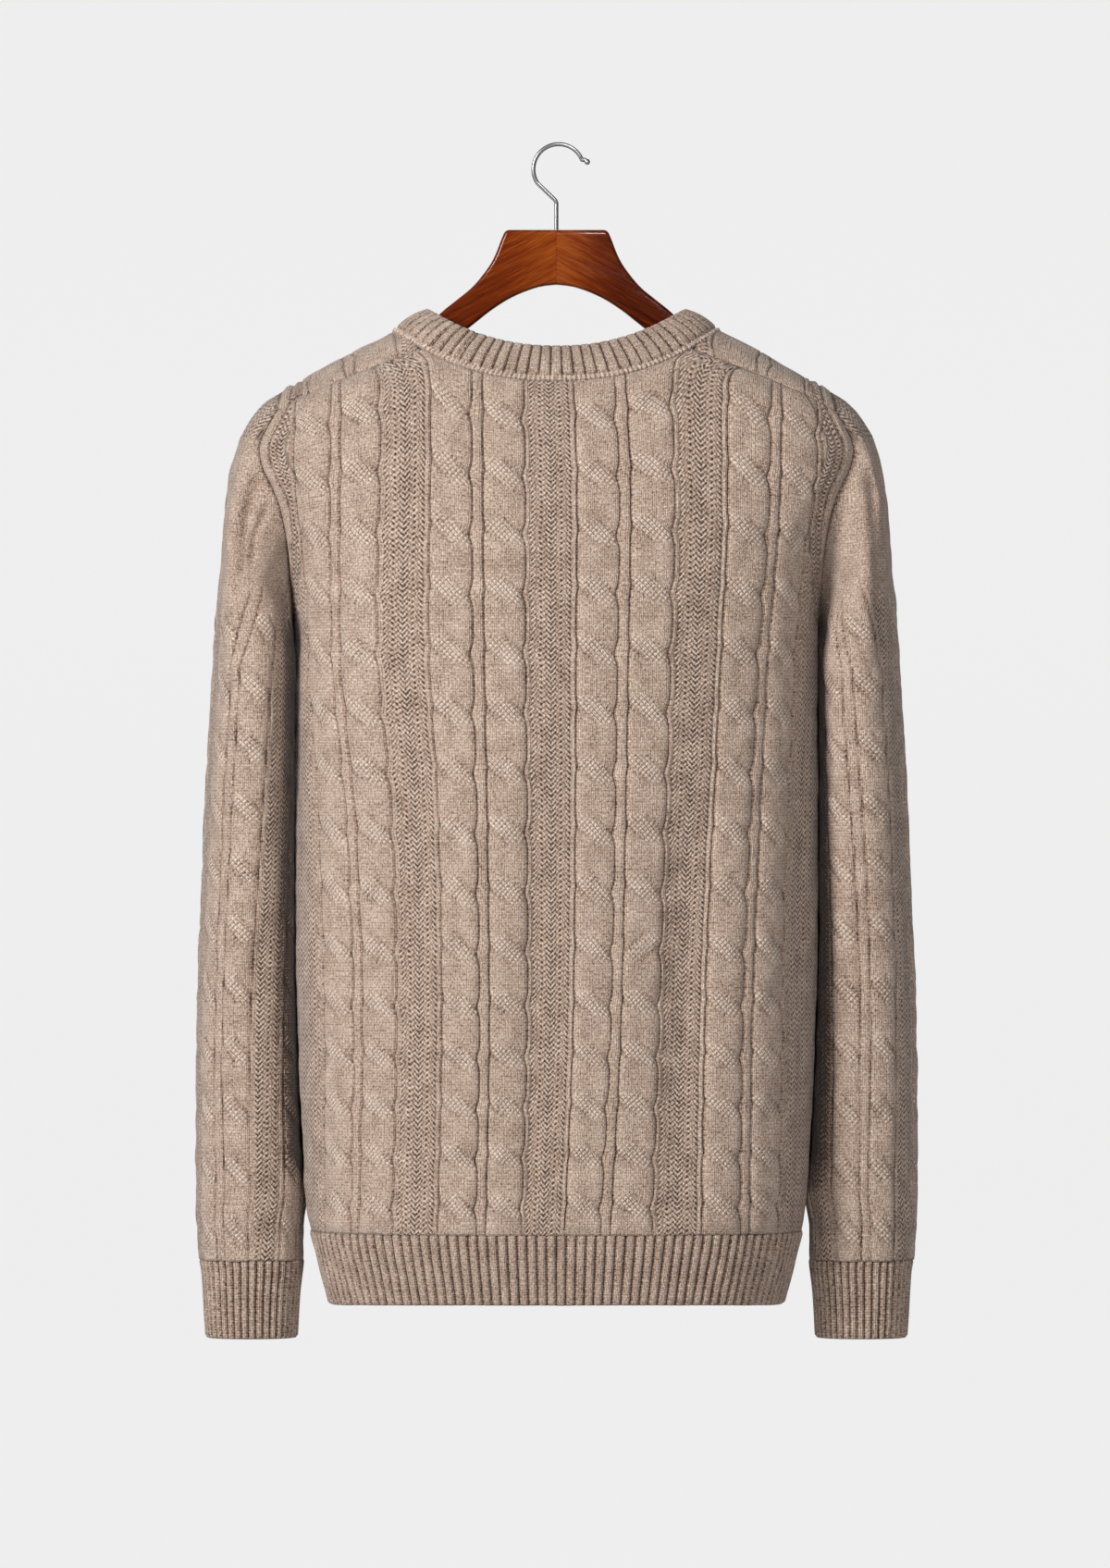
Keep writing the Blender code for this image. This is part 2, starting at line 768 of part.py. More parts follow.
def panel(rows, rises, sides, top_outer, top_inner, inner_columns, inner_rows, flats):
    """A wall over open rows. sides gives each row's outer and inner end points, left and right."""
    shell = Shell()
    normals = [body_normal(row) for row in rows]
    outer = []
    for row, normal, rise, (left, right) in zip(rows, normals, rises, sides):
        points = row + normal * rise[:, None]
        points[0] = left[0]
        points[-1] = right[0]
        outer.append(shell.add(points))
    top = shell.add(top_outer)
    for low, high in zip(outer, outer[1:]):
        shell.strip(low, high)
    shell.strip(outer[-1], top)

    bottom_normal = normals[0] * [1, 1, 0]
    bottom_points = rows[0] - unit(bottom_normal) * WALL
    bottom_points[0] = sides[0][0][1]
    bottom_points[-1] = sides[0][1][1]
    bottom_in = shell.add(bottom_points)
    left_in = [bottom_in[0], *shell.add([s[0][1] for s in sides[1:]])]
    right_in = [bottom_in[-1], *shell.add([s[1][1] for s in sides[1:]])]
    top_in = shell.add(top_inner)
    left_out = [line[0] for line in outer] + top[:1]
    right_out = [line[-1] for line in outer] + top[-1:]
    shell.strip(bottom_in, outer[0])
    shell.strip(right_in + top_in[-1:], right_out)
    shell.strip(left_in + top_in[:1], left_out, flip=True)
    shell.strip(top_in, top, flip=True)

    plain = []
    for k in inner_rows:
        smooth_rise = flats[k]
        points = rows[k] + normals[k] * (smooth_rise - WALL)[:, None]
        plain.append(shell.add(points[inner_columns]))
    for low, high in zip(plain, plain[1:]):
        shell.strip(low, high, flip=True)
    shell.strip(bottom_in, plain[0], flip=True)
    shell.strip(plain[-1], top_in, flip=True)
    shell.strip(left_in + top_in[:1], [bottom_in[0], *[p[0] for p in plain], top_in[0]])
    shell.strip(right_in + top_in[-1:], [bottom_in[-1], *[p[-1] for p in plain], top_in[-1]], flip=True)
    return shell


# ---- Armholes


class Armhole:
    """The right armhole seam: from the underarm up the back, over the shoulder and down the front."""

    def __init__(self, back, front):
        corner = on_shoulder_seam(SHOULDER_SEAM[1][0], 0.0)
        underarm = np.array([float(half_width(UNDERARM)), 0.0, UNDERARM])
        rising = [row[-1] for row in back if row[-1][2] > UNDERARM + 1.0]
        falling = [row[0] for row in front if row[0][2] > UNDERARM + 1.0]
        self.points = np.array([underarm, *rising, corner, *reversed(falling)])
        self.corner = len(rising) + 1
        self.normals = body_normal(self.points)
        self.across = seam_frame(self.points, self.normals, True)

    def lines(self, offset, wall):
        """The seam's outer and inner line, moved towards the sleeve by offset."""
        outer = self.points + self.across * offset
        return outer, outer - self.normals * wall

    def panel_ends(self, backwards):
        """Outer and inner end points of a face's rows above the underarm, and of its upper corner."""
        pairs = []
        for line in self.lines(-SEAM, WALL):
            if backwards:
                run = np.vstack([line[:1], line[:0:-1]])[: len(line) - self.corner + 1]
            else:
                run = line[: self.corner + 1]
            side = 1 if backwards else -1
            share = (side * SEAM - run[0][1]) / (run[1][1] - run[0][1])
            low = run[0] + (run[1] - run[0]) * share
            high = cut_at_corner(run[-2], run[-1], side * SEAM)
            pairs.append([low, *run[1:-1], high])
        return list(zip(*pairs))


def mirrored(p):
    return np.array(p) * [-1, 1, 1]


def face_sides(rows, armhole_ends, side):
    """Left and right end points of each row, and of the upper edge. side is -1 for the back."""
    sides = []
    for row in rows:
        z = float(row[0][2])
        if z < UNDERARM - 1.0:
            reach = float(half_width(z))
            right = (np.array([reach, side * SEAM, z]), np.array([reach - WALL, side * SEAM, z]))
            sides.append(right)
    sides += armhole_ends
    paired = []
    for outer, inner in sides:
        right = (outer, inner)
        left = (mirrored(outer), mirrored(inner))
        paired.append((left, right) if side < 0 else (right, left))
    return paired


def plane_forward(x):
    return PLANE_FORWARD * [1 if x > 0 else -1, 1, 1]


def shoulder_edge(points, offset):
    """Outer and inner points of a shoulder seam, in the seam's plane."""
    outer = []
    inner = []
    for x in points:
        p = on_shoulder_seam(abs(x), offset)
        p[0] = math.copysign(p[0], x)
        normal = body_normal(p)
        normal = unit(normal - plane_forward(x) * (normal @ plane_forward(x)))
        outer.append(p)
        inner.append(p - normal * WALL)
    return np.array(outer), np.array(inner)


def top_edge(corners, first_xs, last_xs, neck, offset):
    """Upper edge of a face: armhole corner, shoulder seam, neck seam, and back out again."""
    lines = []
    first = shoulder_edge(first_xs, offset)
    last = shoulder_edge(last_xs, offset)
    for i in range(2):
        lines.append(np.vstack([[corners[0][i]], first[i], neck[i], last[i], [corners[1][i]]]))
    return lines


INNER_COLUMNS = [1, 3, 7, 12, 17, 22, 27, 32, 37, 41, 43]
INNER_ROW_STEP = 3
SEAM_STEPS = (0.16, 0.34, 0.5, 0.66, 0.84)


def build_face(name, rows, kinds, armhole_ends, neck, offset):
    face = Face(name)
    sides = face_sides(rows, armhole_ends, face.side * -1)
    corners = sides.pop()
    rises = []
    flats = []
    middle = (STRAND_HIGH + STRAND_LOW) / 2
    for i, (row, kind) in enumerate(zip(rows, kinds)):
        positions = face_positions(face, float(np.median(row[:, 2])))
        fold = np.zeros(len(row))
        for j, p in enumerate(row):
            fold[j] = face.fold(positions[j : j + 1], p[2])[0]
        fold[0] = fold[-1] = 0.0
        rise = np.array([rise_of(column, kind) for column in face_kinds()])
        if i > len(body_rows()) - 2:
            near = np.clip((100.0 - np.abs(row[:, 0])) / 30.0, 0, 1)
            strand = np.array([column in ("left", "right") for column in face_kinds()])
            rise = np.where(strand, rise * (1 - near) + middle * near * 0.7, rise)
        rises.append(rise + fold)
        flats.append(fold)
    ends = abs(neck[0][0][0]), abs(corners[0][0][0])
    xs = [ends[1] + (ends[0] - ends[1]) * share for share in SEAM_STEPS]
    left = -1 if name == "back" else 1
    first_xs = [left * x for x in xs]
    last_xs = [-left * x for x in reversed(xs)]
    top_outer, top_inner = top_edge(corners, first_xs, last_xs, neck, offset)
    upper = len(body_rows()) - 2
    inner_rows = [k for k in range(1, len(rows)) if k % INNER_ROW_STEP == 1 or k >= upper]
    shell = panel(rows, rises, sides, top_outer, top_inner, INNER_COLUMNS, inner_rows, flats)
    shell.make(name + "_panel", "knit", 0.95)


# ---- Sleeves and cuffs, worked out for the right one; the left is its mirror image but for the knit


def oval(share, outer, inner, half_depth, forward):
    """A sleeve ring's points. share runs from the underarm round the back, outer and inner are its ends."""
    turn = np.linspace(0, 1, 241) * 2 * math.pi
    across = np.sign(np.cos(turn)) * np.abs(np.cos(turn)) ** (2 / SLEEVE_POWER)
    deep = np.sign(np.sin(turn)) * np.abs(np.sin(turn)) ** (2 / SLEEVE_POWER)
    middle = (outer + inner) / 2 + np.array([0, forward, 0])
    reach = (outer - inner) / 2
    ring = middle - across[:, None] * reach - deep[:, None] * np.array([0, half_depth, 0])
    return resample(ring, np.asarray(share) % 1.0)


class Sleeve:
    def __init__(self, armhole):
        self.armhole = armhole
        self.seam, self.seam_inner = armhole.lines(SEAM, WALL)
        outer_heights = np.linspace(SLEEVE_TOP, CAP_END, 80)
        inner_heights = np.linspace(UNDERARM, CAP_END, 20)
        outer_line = [np.array([float(sleeve_outer(z)), 0.0, z]) for z in outer_heights]
        inner_line = [np.array([float(sleeve_inner(z)), 0.0, z]) for z in inner_heights]
        steps = np.linspace(0, 1, CAP_RINGS + 1)
        self.outers = resample(np.array(outer_line), steps)
        self.inners = resample(np.array(inner_line), steps)

    def seam_point(self, share):
        closed = np.vstack([self.armhole.points, self.armhole.points[:1]])
        return resample(closed, np.asarray(share) % 1.0)

    def cap_ring(self, k, share):
        """Ring k of the sleeve's head, 0 being the armhole and CAP_RINGS the first level ring."""
        ease = (k / CAP_RINGS) ** 2 * (3 - 2 * k / CAP_RINGS)
        half = CAP_HALF_DEPTH + (float(sleeve_depth(CAP_END)) - CAP_HALF_DEPTH) * ease
        forward = float(sleeve_forward(CAP_END)) * ease
        outer = self.outers[k] - [SLEEVE_KNIT * k / CAP_RINGS, 0, 0]
        ring = oval(share, outer, self.inners[k], half, forward)
        start = oval(share, self.outers[0], self.inners[0], CAP_HALF_DEPTH, 0.0)
        return ring + (self.seam_point(share) - start) * (1 - k / CAP_RINGS) ** 2

    def level_ring(self, z, share):
        outer = np.array([float(sleeve_outer(z)) - SLEEVE_KNIT, 0.0, z])
        inner = np.array([float(sleeve_inner(z)), 0.0, z])
        return oval(share, outer, inner, float(sleeve_depth(z)), float(sleeve_forward(z)))


SLEEVE_CABLE = 0.285
SLEEVE_RIB = 0.045
SLEEVE_RISE = 0.85
UNDERARM_CALM = 0.13


def sleeve_columns():
    """Grid lines round a sleeve as shares of the way round from the first pair, and what is raised."""
    lines = []
    for k in range(SLEEVE_PAIRS):
        lines += [((k + at) / SLEEVE_PAIRS, kind) for at, kind in pair_columns(0.0, SLEEVE_CABLE, SLEEVE_RIB)]
        lines.append(((k + 0.5) / SLEEVE_PAIRS, "moss"))
    return lines


def outward(ring):
    """Outward directions of a ring's points."""
    run = np.roll(ring, -1, axis=0) - np.roll(ring, 1, axis=0)
    up = np.cross(ring - ring.mean(axis=0), run).sum(axis=0)
    return unit(np.cross(run, up))


def sleeve_rings(sleeve, left):
    """Plain rings of a sleeve from the cuff up, their shares, and whether each is above a crossing."""
    turns = sleeve_turns[0 if left else 1]
    columns = sleeve_columns()
    start = int(np.argmin([abs((at + float(turns(-300.0)) + 0.5) % 1.0 - 0.5) for at, _ in columns]))
    columns = columns[start:] + columns[:start]
    spots = []
    rows = [(CUFF_TOP + SEAM, "edge")]
    crossing = SLEEVE_LAST_CROSSING
    while crossing < CAP_END:
        rows.append((crossing - SLEEVE_CROSSING_STEP / 4, "below"))
        rows.append((crossing + SLEEVE_CROSSING_STEP / 4, "above"))
        crossing += SLEEVE_CROSSING_STEP
    rows = [row for row in rows if row[0] < CAP_END - 6.0]
    kind = rows[-1][1]
    rings = [(z, None, kind_of) for z, kind_of in rows]
    for k in range(CAP_RINGS, 0, -1):
        kind = "above" if kind == "below" else "below"
        rings.append((CAP_END, k, kind))
    for z, k, kind_of in rings:
        height = z if k is None else CAP_END + (CAP_RINGS - k) / CAP_RINGS * 150.0
        shares = np.array([at for at, _ in columns]) + float(turns(height))
        walked = 1 - shares if left else shares
        ring = sleeve.level_ring(z, walked) if k is None else sleeve.cap_ring(k, walked)
        if left:
            ring = mirrored(ring)
        calm = np.abs((shares + 0.5) % 1.0 - 0.5)
        fade = np.clip(calm / UNDERARM_CALM, 0.3, 1.0) * SLEEVE_RISE
        if k is not None:
            fade = fade * min(1.0, 0.35 + 0.65 * k / CAP_RINGS)
        rise = np.array([rise_of(kind, kind_of) for _, kind in columns]) * fade
        spots.append((ring, rise))
    return spots


SLEEVE_INNER_STEP = 3
CUFF_INNER_STEP = 4


def tube(outer_rings, inner_rings):
    """A closed wall over rings from its lower to its upper end."""
    shell = Shell()
    outside = [shell.add(ring) for ring in outer_rings]
    inside = [shell.add(ring) for ring in inner_rings]
    for low, high in zip(outside, outside[1:]):
        shell.ring(low, high)
    for low, high in zip(inside, inside[1:]):
        shell.ring(low, high, flip=True)
    shell.ring(inside[0], outside[0])
    shell.ring(inside[-1], outside[-1], flip=True)
    return shell


def flat_inset(ring, wall):
    """A level ring moved inwards by a wall's thickness, staying in its plane."""
    normal = outward(ring) * [1, 1, 0]
    return ring - unit(normal) * wall


def build_sleeve(sleeve, name, left):
    seam, seam_inner = sleeve.seam, sleeve.seam_inner
    if left:
        seam, seam_inner = [np.vstack([line[:1], line[:0:-1]]) * [-1, 1, 1] for line in (seam, seam_inner)]
    rings = sleeve_rings(sleeve, left)
    outer = [ring + outward(ring) * rise[:, None] for ring, rise in rings] + [seam]
    inner = [flat_inset(rings[0][0], WALL)[::SLEEVE_INNER_STEP]]
    for ring, _ in rings[2::2]:
        inner.append((ring - outward(ring) * WALL)[::SLEEVE_INNER_STEP])
    inner.append(seam_inner)
    tube(outer, inner).make(name, "knit", 0.95)


def ribbed(ring, rise):
    """A ring with every second point raised."""
    lift = np.where(np.arange(len(ring)) % 2 == 1, rise, 0.0)
    return ring + outward(ring) * [1, 1, 0] * lift[:, None]


CUFF_ROWS = (0.0, 1.0)


def build_cuff(sleeve, name, left):
    size = along(sleeve.level_ring(CUFF_TOP, np.linspace(0, 1, 121)[:-1]), True)[-1]
    count = 2 * round(size / CUFF_RIB_PITCH)
    shares = np.arange(count) / count
    walked = 1 - shares if left else shares
    outer = []
    inner = []
    for share in CUFF_ROWS:
        z = CUFF_END + (CUFF_TOP - SEAM - CUFF_END) * share
        ring = sleeve.level_ring(z, walked)
        if left:
            ring = mirrored(ring)
        outer.append(ribbed(ring, WELT_RISE))
        inner.append(flat_inset(ring, WALL)[::CUFF_INNER_STEP])
    tube(outer, inner).make(name, "rib", 0.95)


def body_ring(z, shares):
    """A level ring of the body, from the middle of the back round to the right."""
    turn = np.linspace(0, 2 * math.pi, 721)
    x = half_width(z) * np.sign(np.sin(turn)) * np.abs(np.sin(turn)) ** (2 / POWER)
    deep = np.sign(np.cos(turn)) * np.abs(np.cos(turn)) ** (2 / POWER)
    y = -deep * np.where(deep > 0, back_depth(z), front_depth(z))
    return resample(np.stack([x, y, np.full(len(x), z)], axis=1), shares)


HEM_INNER_STEP = 9


def build_hem():
    size = along(body_ring(HEM_TOP, np.linspace(0, 1, 361)))[-1]
    count = 2 * round(size / HEM_RIB_PITCH)
    shares = np.arange(count) / count
    rings = [body_ring(z, shares) for z in (HEM_END, HEM_TOP - SEAM)]
    outer = [ribbed(ring, WELT_RISE) for ring in rings]
    inner = [flat_inset(ring, WALL)[::HEM_INNER_STEP] for ring in rings]
    tube(outer, inner).make("hem_rib", "rib", 0.95)


# ---- Collar

COLLAR_ROWS = (0.3, 1.0)
COLLAR_INNER_ROWS = (0.25, 1.0)
COLLAR_INNER_STEP = 6


def build_collar():
    seam, seam_inner = NECK.lines(-SEAM, COLLAR_WALL)
    top = np.array([collar_top_point(t) for t in NECK.turns])
    rise = unit(top - seam)
    run = unit(np.roll(seam, -1, axis=0) - np.roll(seam, 1, axis=0))
    band = unit(np.cross(run, rise))
    ribs = np.where(np.arange(len(seam)) % 2 == 1, WELT_RISE, 0.0)
    outer = [seam]
    for share in COLLAR_ROWS:
        swell = COLLAR_SWELL * math.sin(math.pi * share * 0.9)
        outer.append(seam + (top - seam) * share + band * (ribs + swell)[:, None])
    inner = [seam_inner]
    for share in COLLAR_INNER_ROWS:
        swell = COLLAR_SWELL * math.sin(math.pi * share * 0.9)
        ring = seam + (top - seam) * share + band * (swell - COLLAR_WALL)
        inner.append(ring[::COLLAR_INNER_STEP])
    tube(outer, inner).make("collar", "rib", 0.95)


# ---- Hanger

# Half outlines of the wood: distance from the middle and height
WOOD_UPPER = (
    (36.4, -60.2),
    (39.6, -67.6),
    (42.6, -75.6),
    (46.4, -83.5),
    (52.0, -91.6),
    (60.0, -101.0),
    (70.0, -109.3),
    (79.0, -116.4),
    (88.0, -124.0),
)
WOOD_LOWER = (
    (0.0, -99.3),
    (10.0, -100.4),
    (20.0, -103.3),
    (33.0, -109.0),
    (46.0, -117.2),
    (58.5, -127.0),
    (72.0, -137.5),
    (95.0, -152.0),
    (125.0, -167.0),
    (155.0, -180.5),
    (180.0, -190.0),
)
REST_XS = (97.0, 106.0, 115.0, 119.0, 128.0, 145.0, 160.0, 175.0, 185.0)


def arm_top(x):
    """Height of an arm's upper edge where the shoulder or the collar rests on it."""
    seat = float(crest(max(x, NECK_HALF_WIDTH)))
    if x < NECK_HALF_WIDTH:
        share = (NECK_HALF_WIDTH - x) / (NECK_HALF_WIDTH - COLLAR_HALF_WIDTH)
        seat += (COLLAR_SIDE_HEIGHT - seat) * share
    under_collar = x < NECK_HALF_WIDTH + 4.0
    lean = (float(crest(x + 1)) - float(crest(x - 1))) / 2
    cover = COLLAR_WALL * 1.25 if under_collar else WALL * math.hypot(1, lean)
    return seat - cover - WOOD_REST_GAP


def build_wood():
    half = [*WOOD_UPPER, *[(x, arm_top(x)) for x in REST_XS]]
    tip = (ARM_END, half[-1][1] - 7.0)
    half += [tip, (ARM_END - 2.0, tip[1] - 8.0), *reversed(WOOD_LOWER)]
    outline = half + [(-x, z) for x, z in reversed(half[:-1])]
    made = bmesh.new()
    near = [made.verts.new((x * MM, -WOOD_THICKNESS / 2 * MM, z * MM)) for x, z in outline]
    face = made.faces.new(near)
    swept = bmesh.ops.extrude_face_region(made, geom=[face])
    moved = [v for v in swept["geom"] if isinstance(v, bmesh.types.BMVert)]
    bmesh.ops.translate(made, verts=moved, vec=(0, WOOD_THICKNESS * MM, 0))
    bmesh.ops.recalc_face_normals(made, faces=made.faces)
    mesh = bpy.data.meshes.new("hanger_wood")
    made.to_mesh(mesh)
    made.free()
    wood = finish_object("hanger_wood", mesh, "wood", 0.3)
    bevel = wood.modifiers.new("rounded_edges", "BEVEL")
    bevel.width = WOOD_BEVEL * MM
    bevel.segments = 1
    bevel.limit_method = "ANGLE"
    bevel.angle_limit = math.radians(60)


def hook_route():
    """Middle line of the wire, from the wood up round the hook to its curled tip."""
    centre = -HOOK_RADIUS - WIRE / 2 + 1.5
    points = [(0.0, WOOD_TOP + SEAM * 2), (0.0, -52.0), (-0.3, -44.0), (-2.2, -38.6)]
    for angle in range(222, -1, -12):
        points.append(
            (
                HOOK_SHIFT + HOOK_RADIUS * math.cos(math.radians(angle)),
                centre + HOOK_RADIUS * math.sin(math.radians(angle)),
            )
        )
    while points[-1][1] < centre + 9.5:
        points.pop()
    points += [(19.0, -9.6), (21.2, -11.2), (23.8, -11.7)]
    return points


def build_hook():
    wire = bpy.data.curves.new("hanger_hook", "CURVE")
    wire.dimensions = "3D"
    wire.bevel_depth = WIRE / 2 * MM
    wire.bevel_resolution = 1
    wire.use_fill_caps = True
    spline = wire.splines.new("POLY")
    route = hook_route()
    spline.points.add(len(route) - 1)
    for point, (x, z) in zip(spline.points, route):
        point.co = (x * MM, 0, z * MM, 1)
    spline.points[-1].radius = 1.35
    made = bpy.data.objects.new("hanger_hook", wire)
    bpy.data.collections[COLLECTION].objects.link(made)
    wire.materials.append(material("hanger_hook_finish", "steel", 0.2, 1.0))


def main():
    for old in list(bpy.data.objects):
        bpy.data.objects.remove(old, do_unlink=True)
    collection = bpy.data.collections.new(COLLECTION)
    bpy.context.scene.collection.children.link(collection)

    back = back_rows()
    front = front_rows()
    armhole = Armhole(back, front)
    kinds = [kind for _, kind in body_rows()]
    turned = [("above", "below")[k % 2] for k in range(FRONT_TURN_ROWS - 1)]
    back_ends = armhole.panel_ends(backwards=False)
    front_ends = armhole.panel_ends(backwards=True)
    build_face("back", back, kinds, back_ends, back_neck_line(WALL), -SEAM)
    build_face("front", front, kinds[:-1] + turned, front_ends, front_neck_line(WALL), SEAM)
    sleeve = Sleeve(armhole)
    for side, left in (("left", True), ("right", False)):
        build_sleeve(sleeve, "sleeve_" + side, left)
        build_cuff(sleeve, "cuff_" + side, left)
    build_hem()
    build_collar()
    build_wood()
    build_hook()


main()
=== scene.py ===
"""The looks of a cable knit sweater on a wooden hanger: fine knit over the forms of the solids."""

import math

import bpy
import numpy as np
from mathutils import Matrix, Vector


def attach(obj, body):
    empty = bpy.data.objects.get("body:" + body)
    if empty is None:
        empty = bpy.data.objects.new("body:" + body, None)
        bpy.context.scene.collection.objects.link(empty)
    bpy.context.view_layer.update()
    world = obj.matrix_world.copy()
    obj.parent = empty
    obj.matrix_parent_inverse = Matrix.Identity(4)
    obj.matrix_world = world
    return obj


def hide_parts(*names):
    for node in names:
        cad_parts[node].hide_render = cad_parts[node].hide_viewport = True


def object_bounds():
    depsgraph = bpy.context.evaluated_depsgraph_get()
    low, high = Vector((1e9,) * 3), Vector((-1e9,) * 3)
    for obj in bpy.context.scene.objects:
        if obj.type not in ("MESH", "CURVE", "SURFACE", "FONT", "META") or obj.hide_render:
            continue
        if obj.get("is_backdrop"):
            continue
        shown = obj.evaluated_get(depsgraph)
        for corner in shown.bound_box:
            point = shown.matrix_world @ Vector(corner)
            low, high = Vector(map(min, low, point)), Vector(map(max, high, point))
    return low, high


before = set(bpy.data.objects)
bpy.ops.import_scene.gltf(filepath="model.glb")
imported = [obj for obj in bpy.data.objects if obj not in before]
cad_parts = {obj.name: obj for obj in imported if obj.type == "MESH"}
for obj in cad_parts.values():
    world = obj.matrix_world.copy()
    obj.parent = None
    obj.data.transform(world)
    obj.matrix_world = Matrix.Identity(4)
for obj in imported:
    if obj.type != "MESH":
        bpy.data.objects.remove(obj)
cad_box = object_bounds()
for selected in bpy.context.selected_objects:
    selected.select_set(False)

MM = 0.001

# Cloth
WALL = 2.4  # plain cloth under the raised knit
SEAM = 0.15  # each piece stops this far from its seam line
POWER = 2.5  # roundness of the body's cross sections, 2 being an ellipse
SLEEVE_POWER = 2.2

# Heights of the main lines
HEM_TOP = -773.4
HEM_END = -825.6
UNDERARM = -351.5
CUFF_TOP = -795.0
CUFF_END = -851.0

# Knit pattern across the body: four pairs of cables with a narrow rib between the two of a pair
PAIR_PITCH = 98.0
PAIR_CENTRES = tuple(PAIR_PITCH * k for k in (-1.5, -0.5, 0.5, 1.5))
CABLE_WIDTH = 28.5
RIB_HALF = 3.5
PAIR_HALF = RIB_HALF + CABLE_WIDTH
SLEEVE_KNIT = 2.4  # raised knit at the outer edge of a sleeve
HEM_RIB_PITCH = 7.0
CUFF_RIB_PITCH = 5.8
COLLAR_RIB_PITCH = 8.6

# Cable crossings down the body, from the top one
FIRST_CROSSING = -193.0
CROSSING_STEPS = [42.1] * 9 + [38.3, 36.3, 35.6, 35.6, 34.9]
FRONT_TURN_HEIGHT = FIRST_CROSSING - CROSSING_STEPS[0] / 4  # front rows above this run over the shoulder
SLEEVE_LAST_CROSSING = -773.0
SLEEVE_CROSSING_STEP = 42.9

# Body: height, half width, depth to the back, depth to the front
TORSO = (
    (-826.0, 160.0, 102.0, 106.0),
    (-774.0, 173.5, 110.0, 114.0),
    (-758.0, 176.5, 111.5, 115.5),
    (-740.0, 178.2, 112.5, 117.0),
    (-688.0, 181.2, 114.0, 119.0),
    (-622.0, 184.0, 116.0, 121.0),
    (-556.0, 185.5, 118.0, 123.0),
    (-450.0, 185.7, 120.0, 124.0),
    (-351.5, 185.5, 118.0, 122.0),
    (-330.0, 187.0, 116.5, 120.5),
    (-310.0, 190.0, 114.0, 118.0),
    (-292.0, 194.5, 112.0, 116.0),
    (-275.0, 202.0, 109.5, 113.0),
    (-258.0, 212.0, 106.0, 109.5),
    (-245.0, 220.5, 103.0, 106.5),
    (-230.0, 227.0, 99.5, 102.5),
    (-215.0, 228.0, 95.0, 98.0),
    (-203.0, 224.0, 91.0, 94.0),
    (-191.0, 216.0, 86.5, 90.0),
    (-180.0, 202.0, 81.8, 86.0),
    (-170.6, 185.0, 77.8, 82.0),
    (-160.0, 164.8, 72.0, 77.0),
    (-150.0, 146.3, 66.0, 72.0),
    (-140.0, 127.2, 60.5, 67.0),
    (-134.0, 116.0, 57.0, 64.0),
    (-127.0, 103.5, 52.0, 60.0),
    (-118.0, 88.0, 46.0, 54.0),
)

# Where the armhole seam crosses each height: height, distance from the middle
ARMHOLE = (
    (-351.5, 185.5),
    (-330.0, 186.6),
    (-310.0, 188.2),
    (-292.0, 190.2),
    (-275.0, 192.6),
    (-258.0, 196.4),
    (-245.0, 201.5),
    (-230.0, 208.6),
    (-218.0, 210.8),
    (-203.0, 205.6),
    (-191.0, 197.7),
)
ARMHOLE_TOP_X = 195.0
ARMHOLE_BOW_FRONT = 10.6

# Where the ribs between paired cables lie: height, then the four distances from the middle
RIB_LINES = (
    (-774.0, -141.6, -53.0, 34.0, 132.3),
    (-622.0, -139.0, -50.5, 42.0, 134.3),
    (-483.0, -144.0, -52.0, 45.0, 139.6),
    (-358.0, -155.0, -54.5, 47.0, 146.0),
    (-255.0, -156.0, -55.5, 48.5, 154.0),
    (-160.0, -156.0, -56.0, 44.5, 156.5),
)

# Long soft folds of the body: face, pattern position, depth, half width, top and foot
FOLDS = (
    ("back", 98.0, 5.5, 20.0, -440.0, -765.0),
    ("back", -98.0, 4.0, 22.0, -370.0, -600.0),
    ("back", -4.0, 3.5, 22.0, -430.0, -760.0),
    ("back", 190.0, 2.5, 14.0, -400.0, -640.0),
    ("front", -98.0, 5.0, 22.0, -420.0, -750.0),
    ("front", 98.0, 4.0, 20.0, -380.0, -690.0),
    ("front", 2.0, 3.0, 22.0, -480.0, -765.0),
    ("front", -190.0, 2.5, 14.0, -430.0, -680.0),
)

# Neck: half width and depths of the seam, then of the collar's top edge
NECK_HALF_WIDTH = 116.0
NECK_BACK = 78.0
NECK_FRONT = 98.0
COLLAR_HALF_WIDTH = 90.0
COLLAR_BACK = 63.0
COLLAR_FRONT = 82.0
COLLAR_BACK_HEIGHT = -146.0
COLLAR_SIDE_HEIGHT = -119.0
COLLAR_FRONT_HEIGHT = -191.0
COLLAR_SAG_BACK = 2.2
COLLAR_SAG_FRONT = 2.6
COLLAR_WALL = 4.0
COLLAR_SWELL = 3.0

# The shoulder seam lies behind the crest: its two ends as distance from the middle and height
SHOULDER_SEAM = ((98.0, -147.6), (197.7, -191.0))

# Rows of the front that run over the shoulder, and how all rows bend near the neck
FRONT_CORNER_X = 108.0
SHOULDER_BOW_FROM = 150.0  # beyond this the armhole bows the columns
FRONT_NECK_DIP = 25.0
FRONT_NECK_REACH = 105.0
ROWS_BEND_FROM = -330.0
ROWS_TOP = -165.0
ROWS_BEND_POWER = 1.5

